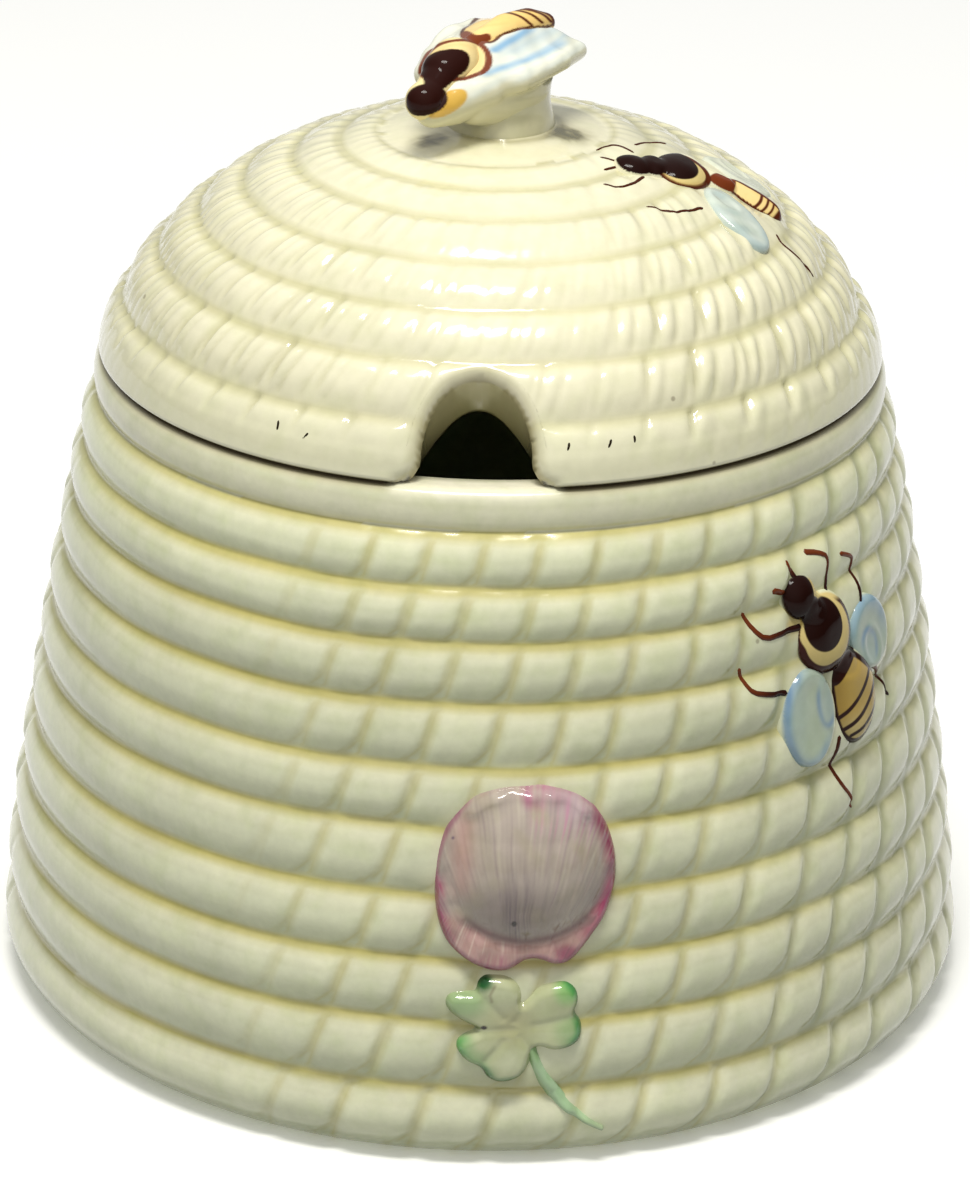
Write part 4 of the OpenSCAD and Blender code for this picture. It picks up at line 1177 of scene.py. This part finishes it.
def lb_h(x, y):
    head = bump(ell(x, y, **LB_HEAD), 1.9, 0.85)
    neck = bump(ell(x, y, -6.7, -3.4, 1.8, 1.9, 25), 1.4, 0.8)
    thor = bump(ell(x, y, **LB_CRES), 3.0, 1.3)
    abd = bump(poly_d(x, y, LB_ABD), 2.2, 0.9)
    waist = bump(ell(x, y, -0.4, 0.4, 2.9, 1.45, 18), 1.3, 0.9)
    return smax_all(0.5, head, neck, thor, abd, waist) + 0.12


def lb_paint(x, y, h):
    dc = ell(x, y, -3.75, -0.75, 3.15, 4.15, -8)
    abd = rounded([(0.4, 1.0), (3.0, 0.6), (5.6, 0.9), (8.4, 1.6), (8.9, 3.2), (8.3, 5.4), (6.2, 6.0), (3.2, 5.6), (0.6, 4.4)], 2)
    da = poly_d(x, y, abd)
    n = len(x)
    ab = sm(-0.5, -0.1, x)
    c = np.tile(LIDC, (n, 1))
    c = mixc(c, mixc(lin("#fbdf9c"), lin("#e3bd6c"), sm(3.5, 6.5, y) * 0.6 + sm(3, 7, x) * 0.3), edge(da, 0.12))
    c = mixc(c, CRESC * 1.1, edge(dc, 0.1) * sm(-0.3, -0.7, x))
    c = mixc(c, BROWN, edge(np.abs(da + 0.25) - 0.32 - 0.10 * sm(3.5, 6.0, y), 0.08) * ab)
    for xs, wd in ((5.2, 0.20), (6.1, 0.17), (6.9, 0.15)):
        c = mixc(c, BROWN, edge(np.abs(x - xs + 0.05 * (y - 3) ** 2) - wd, 0.08) * edge(da, 0.1))
    c = mixc(c, BROWN, edge(-(x - 7.5), 0.15) * edge(da, 0.1))
    c = mixc(c, lin("#78361a"), edge(poly_d(x, y, rounded([(-1.0, 0.4), (0.8, 0.0), (2.2, 0.8), (2.0, 2.4), (1.7, 4.6), (0.2, 4.3), (-0.9, 2.8)], 2)), 0.1))
    c = mixc(c, BROWN, edge(np.abs(dc + 0.26) - (0.34 + 0.10 * sm(0, -4, y)), 0.08) * sm(-6.8, -6.2, x))
    c = mixc(c, lin("#d9b872"), edge(np.abs(dc + 0.75) - 0.3, 0.2) * sm(-0.5, -2.0, y) * 0.5)
    dt = np.minimum(ell(x, y, **LB_THOR), np.minimum(ell(x, y, -8.6, -4.4, 2.1, 2.35, 5), ell(x, y, -6.8, -2.7, 1.5, 2.5, 8)))
    c = mixc(c, DARK, edge(dt, 0.08))
    return c


use(relief("lid_bee_painted", lb_flat, lb_h, lb_paint, (-12.5, 10.5, -9, 9), 0.07, 0.8, LEAN_L), PAINT, "lid", "bee_paint", "lid_bee_body")
LW_L = dict(cx=4.3, cy=-3.9, a=5.3, b=2.75, tilt=-24)
LW_U = dict(cx=1.8, cy=7.4, a=4.6, b=2.6, tilt=14)


def lw_paint(e, pale=0.0):
    def f(x, y, h):
        d = ell(x, y, **e)
        c = np.tile(lin("#cad5cb"), (len(x), 1))
        r = np.random.RandomState(5)
        s = sum(np.sin(x * r.uniform(1, 2.4) + y * r.uniform(-2.4, 2.4) + r.uniform(0, 6)) for _ in range(5)) / 5
        c = mixc(c, lin("#e2e9dd"), sm(0, 0.7, s) * 0.6)
        c = mixc(c, lin("#aec2c3"), sm(0, 0.7, -s) * 0.5)
        c = mixc(c, lin("#a3bac0"), sm(-1.6, -0.2, d) * sm(0, 6, x) * 0.5)
        c = mixc(c, lin("#e0e1ca"), pale)
        c = mixc(c, LIDC, sm(0.02, 0.3, d))
        return c
    return f


use(relief("lid_bee_lower_wing", lid_host(0.2), wing_h(LW_L, 0.34, dict(cx=2, cy=-3, a=2, b=1)), lw_paint(LW_L), (-3, 12, -9.5, 3), 0.13), WASH, "lid", "wing_paint", "lid_bee_wing_lower")
use(relief("lid_bee_upper_wing", lid_host(0.2), wing_h(LW_U, 0.30, dict(cx=1, cy=8, a=2, b=1)), lw_paint(LW_U, 0.72), (-6, 9, 3, 14), 0.13), WASH, "lid", "wing_paint", "lid_bee_wing_upper")
legs = []
for i, pts in enumerate([
        [(-13.3, -3.8), (-12.6, -2.2), (-11.7, -1.2), (-9.4, -1.6)], [(-9.9, 0.8), (-9.2, 3.2), (-7, 5)], [(-12.4, -5.8), (-10.2, -5)],
        [(-11.2, -8.1), (-10.1, -6.2)], [(-10.3, -11.5), (-8.9, -11), (-7.8, -10), (-6.9, -6.4)],
        [(-4.8, -11.9), (-2.9, -10.9), (-1.8, -10.7), (0.4, -6.5)], [(8.9, -1.1), (10.3, -2.1), (12.2, -2.1), (14.2, -1.7), (16.2, -1.4)]]):
    legs.append(stroke(f"lid_bee_leg_{i}", lb_line, pts, 0.42, 0.52, 0.08, lin("#4a1f0c")))
use(join("lid_bee_legs", legs), PAINT, "lid", "bee_paint")

# small pinholes in the lid's glaze: short dark marks
marks = []
for i, (a, p, l, t) in enumerate([(-78.8, 20.3, 0.9, 15), (-72.8, 20.3, 1.0, 25), (-69.1, 20.6, 0.8, 5), (-121.2, 19.8, 1.1, -5), (-116.5, 19.2, 0.9, 35)]):
    def host(x, y, off, a=a, p=p):
        az = a + x / 42.0 / RAD
        ph = p + y / 38.0 / RAD
        return dome(az, ph, lid_h(az, ph) + off)
    dx, dy = l * math.sin(t * RAD) / 2, l * math.cos(t * RAD) / 2
    marks.append(stroke(f"mark_{i}", host, [(-dx, -dy), (0.05, 0), (dx, dy)], 0.28, 0.34, 0.02, lin("#2c2416")))
use(join("lid_glaze_pinholes", marks), PAINT, "lid", "lid_glaze")

# ------------------------------------------------------------------ knob
KO = np.array([-2.3, -2.3, 108.0])
KU = np.array([0.648, 0.728, 0.22]); KU /= np.linalg.norm(KU)
KV = np.array([0.747, -0.664, 0.0]); KV /= np.linalg.norm(KV)
KW = np.cross(KV, KU)


def ball_pts(c, r, n=14):
    th = np.arange(2 * n) * math.pi / n
    ph = np.linspace(-math.pi / 2, math.pi / 2, n)
    out = [[c[0] + r * math.cos(b) * math.cos(a), c[1] + r * math.cos(b) * math.sin(a), c[2] + r * math.sin(b)] for a in th for b in ph]
    return out


def hull(balls):
    bm = bmesh.new()
    for c, r in balls:
        for p in ball_pts(c, r):
            bm.verts.new(p)
    res = bmesh.ops.convex_hull(bm, input=bm.verts)
    bmesh.ops.delete(bm, geom=[g for g in res["geom_interior"] if isinstance(g, bmesh.types.BMVert)], context="VERTS")
    return bm


def kloc(u, v, w):
    return KO + KU * u + KV * v + KW * w


def clay(name, hulls, voxel, steps, lam=0.5):
    """union of hulls, remeshed and softened like modelled clay; coordinates in mm until the end"""
    me = bpy.data.meshes.new(name)
    big = bmesh.new()
    for h in hulls:
        bm = hull(h)
        tmp = bpy.data.meshes.new("tmp")
        bm.to_mesh(tmp); bm.free()
        big.from_mesh(tmp)
        bpy.data.meshes.remove(tmp)
    big.to_mesh(me); big.free()
    ob = bpy.data.objects.new(name, me)
    bpy.context.scene.collection.objects.link(ob)
    md = ob.modifiers.new("remesh", "REMESH"); md.mode = "VOXEL"; md.voxel_size = voxel
    s = ob.modifiers.new("smooth", "SMOOTH"); s.factor = lam; s.iterations = steps
    dg = bpy.context.evaluated_depsgraph_get()
    new = bpy.data.meshes.new_from_object(ob.evaluated_get(dg), depsgraph=dg)
    ob.modifiers.clear()
    ob.data = new
    return ob


def finish_clay(ob, shape, paint):
    me = ob.data
    n = len(me.vertices)
    co = np.zeros(n * 3); me.vertices.foreach_get("co", co); co = co.reshape(-1, 3)
    no = np.zeros(n * 3); me.vertex_normals.foreach_get("vector", no); no = no.reshape(-1, 3)
    d = co - KO
    u, v, w = d @ KU, d @ KV, d @ KW
    if shape is not None:
        co = co + no * shape(u, v, w, no)[:, None]
    col = paint(u, v, w, no)
    me.vertices.foreach_set("co", (co * MM).ravel())
    at = me.color_attributes.new("Col", "FLOAT_COLOR", "POINT")
    c4 = np.ones((n, 4), np.float32); c4[:, :3] = np.clip(col, 0, 1)
    at.data.foreach_set("color", c4.ravel())
    me.polygons.foreach_set("use_smooth", np.ones(len(me.polygons), bool))
    me.update()
    return ob


# stem
st = Sheet()
a = np.arange(96) / 96 * 2 * math.pi
kn = [(6.35, 98.2), (6.3, 98.8), (6.15, 99.4), (5.85, 100.1), (5.5, 100.9), (5.2, 101.7), (5.05, 102.6), (5.05, 103.6), (5.15, 104.6), (5.3, 105.4)]
for r, z in kn:
    rr = r * (1 + 0.03 * np.cos(2 * a - 0.6) + 0.015 * np.sin(3 * a))
    # painted shade: the neck under the bee darker than the lid, darkest at its foot
    foot_shade = sm(100.6, 98.9, z)
    cx_ = 0.9 - 0.55 * sm(101.5, 98.6, z)
    st.ring(np.stack([cx_ + rr * np.cos(a), -0.3 + rr * np.sin(a), np.full(96, z)], -1), np.tile(mixc(mixc(LIDC, lin("#c9c49a"), 0.55), lin("#8d864e"), foot_shade * 0.8), (96, 1)))
st.pole((0.9, -0.3, 105.4), LIDC)
bot = Sheet()
stem_v = np.vstack(st.v); stem_c = np.vstack(st.c)
stem_f = st.f + [tuple(range(96))[::-1]]
knob_stem = outward(make_mesh("knob_stem_glazed", stem_v, stem_f, stem_c))
use(knob_stem, LID_GLAZE, "lid", "lid_glaze", "knob_stem")

# slab with both wings
def kb(u, v, w, r):
    return (tuple(kloc(u, v, w)), r)


slab = clay("knob_bee_wings", [
    [kb(-9.3, 1.8, -1.7, 2.0), kb(-6.0, 1.6, -2.2, 2.7), kb(-0.2, 0.7, -2.0, 4.1), kb(-2.5, 3.6, -1.8, 2.2)],
    [kb(-0.2, 0.7, -2.0, 4.0), kb(8.8, 0.7, -3.0, 2.8), ((0.9, -0.3, 104.6), 5.0)],
    [kb(-2.5, 3.0, -1.2, 2.2), kb(0.0, 2.0, 0.3, 1.7), kb(5.0, 2.0, 0.1, 1.6), kb(9.6, 1.9, -1.7, 1.3), kb(0.6, 6.0, -1.7, 1.35), kb(7.5, 5.6, -2.6, 1.2), kb(12.3, 3.7, -4.1, 1.05)],
    [kb(-4.9, -2.6, -0.5, 1.6), kb(-1.6, -4.7, -0.4, 1.4), kb(2.6, -6.1, -0.2, 1.3), kb(6.6, -5.8, -0.8, 1.15), kb(9.8, -4.0, -2.0, 1.1), kb(-1.0, -1.0, 0.2, 1.8), kb(5.0, -1.0, 0.2, 1.7)],
    [((0.9, -0.3, 104.6), 5.2), ((0.9, -0.3, 105.6), 4.6), kb(-3.0, 2.0, -3.2, 3.0)],
], 0.2, 16)

K_HEAD = rounded([(-12.6, 1.2), (-10.2, -0.9), (-8.2, -1.3), (-7.0, -0.2), (-7.1, 1.6), (-8.3, 3.5), (-9.9, 4.8), (-11.8, 5.2), (-13.4, 4.4), (-13.7, 3.0)], 2)
K_THOR = rounded([(-5.6, -3.1), (-3.3, -4.7), (-0.9, -4.8), (0.5, -3.2), (0.5, -1.5), (-0.9, 0.2), (-3.0, 1.5), (-4.4, 1.5), (-6.0, 1.9), (-8.1, 2.2), (-8.0, -0.4), (-6.9, -1.2)], 2)
K_CRES = rounded([(-6.9, -2.0), (-4.1, -4.4), (-1.2, -5.7), (1.0, -5.6), (2.4, -4.2), (2.9, -2.6), (2.2, -0.2), (0.4, 2.0), (-1.7, 3.4), (-3.2, 3.4), (-5.5, 2.0)], 2)
K_WAIST = rounded([(2.3, -3.6), (3.2, -5.2), (4.3, -5.2), (4.1, -4.0), (3.9, -3.1), (5.0, -2.4), (4.2, -1.2), (3.3, -1.0), (2.0, -0.9), (2.2, -2.5)], 1)
K_ABD = rounded([(2.6, -4.4), (4.6, -5.9), (6.4, -6.2), (8.5, -6.1), (9.9, -5.0), (11.3, -3.2), (12.0, -1.0), (11.7, 1.2), (10.6, 2.8), (9.3, 2.9), (8.3, 0.9), (6.9, -0.3), (5.3, -0.8), (3.9, -0.6), (2.9, -0.9)], 2)
K_OCHRE = rounded([(-9.4, 3.9), (-7.9, 2.6), (-7.0, 3.0), (-6.3, 4.4), (-8.0, 6.1), (-10.3, 6.8), (-12.6, 6.5), (-13.6, 5.3), (-12.0, 4.2)], 2)


def bee_layers(c, u, v, w):
    """the painting of the knob's bee, laid on as seen along the slope of the back"""
    U, V = u + 1.426 * w, v - 1.447 * w
    da = poly_d(U, V, K_ABD)
    c = mixc(c, mixc(lin("#ffdf96"), lin("#ecc06c"), sm(4.5, 9.5, U) * 0.5), edge(da, 0.12))
    c = mixc(c, lin("#e8c27a"), edge(line_d(U, V, smooth_line([(4.6, -4.6), (6.0, -4.0), (7.6, -2.2)])) - 0.2, 0.5) * 0.5)
    c = mixc(c, BROWN, edge(np.abs(da) - 0.26 - 0.16 * sm(9.0, 11.0, U), 0.1))
    for st in ([(8.2, -6.0), (9.6, -4.6), (9.8, -2.1), (8.6, 0.8)], [(9.6, -5.2), (10.6, -3.4), (10.7, -1.1), (9.6, 1.5)], [(10.6, -4.0), (11.3, -2.3), (11.3, 0.2), (10.3, 2.2)]):
        c = mixc(c, BROWN, edge(line_d(U, V, smooth_line(st)) - 0.19, 0.1) * edge(da, 0.1))
    c = mixc(c, REDBROWN, edge(poly_d(U, V, K_WAIST), 0.12))
    dc = poly_d(U, V, K_CRES)
    c = mixc(c, lin("#f8e0a2"), edge(dc, 0.12))
    c = mixc(c, lin("#edcf8c"), edge(np.abs(dc + 1.15) - 0.35, 0.4) * 0.6)
    c = mixc(c, REDBROWN, edge(np.abs(dc + 0.14) - (0.32 + 0.12 * sm(0, 3, V)), 0.12))
    c = mixc(c, lin("#e2b54f"), edge(poly_d(U, V, K_OCHRE), 0.2))
    c = mixc(c, DARK2, edge(np.minimum(poly_d(U, V, K_THOR), poly_d(U, V, K_HEAD)), 0.1))
    return c


def slab_shape(u, v, w, no):
    topside = sm(0.1, 0.6, no @ KW)
    hol = np.exp(-(((u - 4.6) / 4.6) ** 2 + ((v - 4.5) / 1.5) ** 2)) * 0.5
    hol2 = np.exp(-(((u - 2.5) / 4.5) ** 2 + ((v + 4.9) / 1.5) ** 2)) * 0.4
    return -topside * (hol + hol2) + 0.05 * np.sin(u * 2.2 + v) * topside


def both_sides(paint):
    """the far flank carries the near flank's painting mirrored"""
    def f(u, v, w, no):
        toward = (KW + 1.447 * KV - 1.426 * KU) / 2.263
        k = sm(-0.10, 0.04, no @ toward)
        flip = no - 2 * (no @ KV)[:, None] * KV
        return mixc(paint(u, 1.0 - v, w, flip), paint(u, v, w, no), k)
    return f


def slab_paint(u, v, w, no):
    # white glaze where the wings face up; the flanks and underside a beige darker than the lid, as painted shade
    up_ = sm(0.05, 0.5, no @ KW)
    c = mixc(np.tile(mixc(LIDC, lin("#cdc89f"), 0.35), (len(u), 1)), WHITE, up_ * 0.85)
    U, V = u + 1.426 * w, v - 1.447 * w
    near = sm(-0.2, 0.4, no @ KW) * (v > 0)
    s_ = 0.5 + 0.5 * np.sin(V * 2.6 + 0.8 * np.sin(U * 0.7) + 0.5 * U)
    c = mixc(c, lin("#c3d6de"), near * edge(line_d(U, V, smooth_line([(3.4, 2.8), (6.6, 2.9), (10.0, 4.0)])) - 1.1, 1.3) * 0.75)
    c = mixc(c, lin("#8db9dc"), near * edge(line_d(U, V, smooth_line([(2.4, 0.9), (5.0, 0.95), (7.8, 1.1)])) - 0.75, 0.6) * 0.95)
    c = mixc(c, lin("#93bcdc"), near * edge(line_d(U, V, smooth_line([(-2.2, 3.9), (1.4, 5.3), (4.8, 6.3), (6.8, 6.5)])) - 0.75, 0.8) * 0.9)
    c = mixc(c, lin("#b4cddd"), near * edge(line_d(U, V, smooth_line([(3.6, 5.6), (6.6, 5.8), (10.0, 5.7)])) - 0.45, 0.8) * 0.8)
    # painted highlight: a bright white line along the near wing below the head
    c = mixc(c, WHITE * 1.03, near * edge(line_d(U, V, smooth_line([(-7.5, 3.6), (-5.2, 2.9), (-4.2, 5.0), (-2.2, 6.1), (0.6, 6.9), (4.6, 8.0), (9.0, 8.4)])) - 0.36, 0.35) * 0.95)
    c = mixc(c, lin("#d2dfe0"), near * s_ * 0.3)
    return bee_layers(c, u, v, w)


use(finish_clay(slab, slab_shape, both_sides(slab_paint)), WING_GLAZE, "lid", "lid_glaze", "knob_bee_base")

# body of the knob bee
body = clay("knob_bee_painted", [
    [kb(-9.85, 1.35, -0.5, 2.15), kb(-9.0, 1.25, -0.3, 2.0)],
    [kb(-9.0, 1.2, -0.3, 1.8), kb(-5.8, 0.6, 0.5, 2.3)],
    [kb(-5.4, 0.5, 0.6, 2.6), kb(-3.4, 0.2, 0.7, 2.9), kb(-2.2, 0.0, 0.6, 2.4)],
    [kb(-2.0, 0.0, 0.5, 1.9), kb(1.2, 0.1, 0.8, 1.8)],
    [kb(1.4, 0.1, 0.8, 1.8), kb(4.8, 0.4, 0.85, 2.05), kb(8.2, 0.5, 0.15, 1.9), kb(10.9, 0.6, -0.75, 1.15)],
], 0.2, 7)


def kb_paint(u, v, w, no):
    c = mixc(np.tile(lin("#fbe9ae"), (len(u), 1)), lin("#f6dc95"), sm(0, 3, u))
    return bee_layers(c, u, v, w)


use(finish_clay(body, None, both_sides(kb_paint)), PAINT, "lid", "bee_paint", "knob_bee_body")


# ------------------------------------------------------------------ stage, camera and light
def plain(name, col, rough=0.6):
    m = bpy.data.materials.new(name)
    m.use_nodes = True
    b = m.node_tree.nodes["Principled BSDF"]
    b.inputs["Base Color"].default_value = (*col, 1)
    b.inputs["Roughness"].default_value = rough
    b.inputs["Specular IOR Level"].default_value = 0.1
    return m


me = bpy.data.meshes.new("floor")
me.from_pydata([(-4, -4, 0), (4, -4, 0), (4, 6, 0), (-4, 6, 0)], [], [(0, 1, 2, 3)])
floor = bpy.data.objects.new("floor", me)
bpy.context.scene.collection.objects.link(floor)
me.materials.append(plain("floor_paper", (0.97, 0.97, 0.965)))
fp = me.materials[0].node_tree.nodes["Principled BSDF"]
fp.inputs["Emission Color"].default_value = (1, 1, 1, 1)
fp.inputs["Emission Strength"].default_value = 0.11
floor.visible_diffuse = False
floor.visible_glossy = True

cam_data = bpy.data.cameras.new("camera")
cam = bpy.data.objects.new("camera", cam_data)
bpy.context.scene.collection.objects.link(cam)
right = Vector((0.999823915, 0.00765009264, 0.0171351731))
up = Vector((-0.0187646579, 0.399785551, 0.916416609))
fwd = Vector((-0.000160277335, 0.916576778, -0.399858706))
cam.matrix_world = Matrix((
    (right.x, up.x, -fwd.x, 0.0),
    (right.y, up.y, -fwd.y, -0.497158),
    (right.z, up.z, -fwd.z, 0.259311),
    (0, 0, 0, 1)))
cam_data.sensor_width = 36
cam_data.sensor_fit = "AUTO"
cam_data.lens = 141.585
cam_data.clip_start = 0.01
bpy.context.scene.camera = cam


def softbox(name, pos, target, sx, sy, watts, col=(1, 1, 1)):
    ld = bpy.data.lights.new(name, "AREA")
    ld.shape = "RECTANGLE"; ld.size = sx; ld.size_y = sy; ld.energy = watts; ld.color = col
    lo = bpy.data.objects.new(name, ld)
    bpy.context.scene.collection.objects.link(lo)
    d = Vector(target) - Vector(pos)
    lo.location = pos
    lo.rotation_euler = d.to_track_quat("-Z", "Y").to_euler()
    return lo


softbox("key", (-0.035, -0.22, 0.78), (0, 0, 0.06), 0.16, 0.15, 2.5, (1.0, 0.98, 0.92))
softbox("key_left", (-0.155, -0.22, 0.78), (0, 0, 0.06), 0.045, 0.09, 0.7, (1.0, 0.98, 0.92))
softbox("key_right", (0.085, -0.22, 0.78), (0, 0, 0.06), 0.05, 0.09, 0.8, (1.0, 0.98, 0.92))

world = bpy.data.worlds.new("studio")
bpy.context.scene.world = world
world.use_nodes = True
wn = world.node_tree.nodes
bg = wn["Background"]
tc = wn.new("ShaderNodeTexCoord")
sep = wn.new("ShaderNodeSeparateXYZ")
world.node_tree.links.new(tc.outputs["Generated"], sep.inputs["Vector"])
ramp = wn.new("ShaderNodeValToRGB")
mr = wn.new("ShaderNodeMapRange"); mr.inputs["From Min"].default_value = -1; mr.inputs["From Max"].default_value = 1
world.node_tree.links.new(sep.outputs["Z"], mr.inputs["Value"])
world.node_tree.links.new(mr.outputs["Result"], ramp.inputs["Fac"])
ramp.color_ramp.elements[0].position = 0.0; ramp.color_ramp.elements[0].color = (0.66, 0.66, 0.55, 1)
ramp.color_ramp.elements[1].position = 1.0; ramp.color_ramp.elements[1].color = (1.04, 1.04, 1.02, 1)
e = ramp.color_ramp.elements.new(0.45); e.color = (0.34, 0.35, 0.33, 1)
e = ramp.color_ramp.elements.new(0.62); e.color = (0.53, 0.54, 0.52, 1)
sx = wn.new("ShaderNodeMath"); sx.operation = "ADD"; sx.inputs[1].default_value = 0.08
world.node_tree.links.new(sep.outputs["X"], sx.inputs[0])
sq = wn.new("ShaderNodeMath"); sq.operation = "MULTIPLY"
world.node_tree.links.new(sx.outputs["Value"], sq.inputs[0]); world.node_tree.links.new(sx.outputs["Value"], sq.inputs[1])
mx_ = wn.new("ShaderNodeMapRange"); mx_.inputs["From Min"].default_value = 0; mx_.inputs["From Max"].default_value = 1
mx_.inputs["To Min"].default_value = 1.10; mx_.inputs["To Max"].default_value = 0.40
world.node_tree.links.new(sq.outputs["Value"], mx_.inputs["Value"])
my_ = wn.new("ShaderNodeMapRange"); my_.inputs["From Min"].default_value = -1; my_.inputs["From Max"].default_value = 0.2
my_.inputs["To Min"].default_value = 1.16; my_.inputs["To Max"].default_value = 0.94
world.node_tree.links.new(sep.outputs["Y"], my_.inputs["Value"])
mm_ = wn.new("ShaderNodeMath"); mm_.operation = "MULTIPLY"
world.node_tree.links.new(mx_.outputs["Result"], mm_.inputs[0]); world.node_tree.links.new(my_.outputs["Result"], mm_.inputs[1])
vs_ = wn.new("ShaderNodeVectorMath"); vs_.operation = "SCALE"
world.node_tree.links.new(ramp.outputs["Color"], vs_.inputs[0]); world.node_tree.links.new(mm_.outputs["Value"], vs_.inputs["Scale"])
world.node_tree.links.new(vs_.outputs["Vector"], bg.inputs["Color"])
bg.inputs["Strength"].default_value = 0.80
bpy.context.scene.view_settings.view_transform = "Standard"
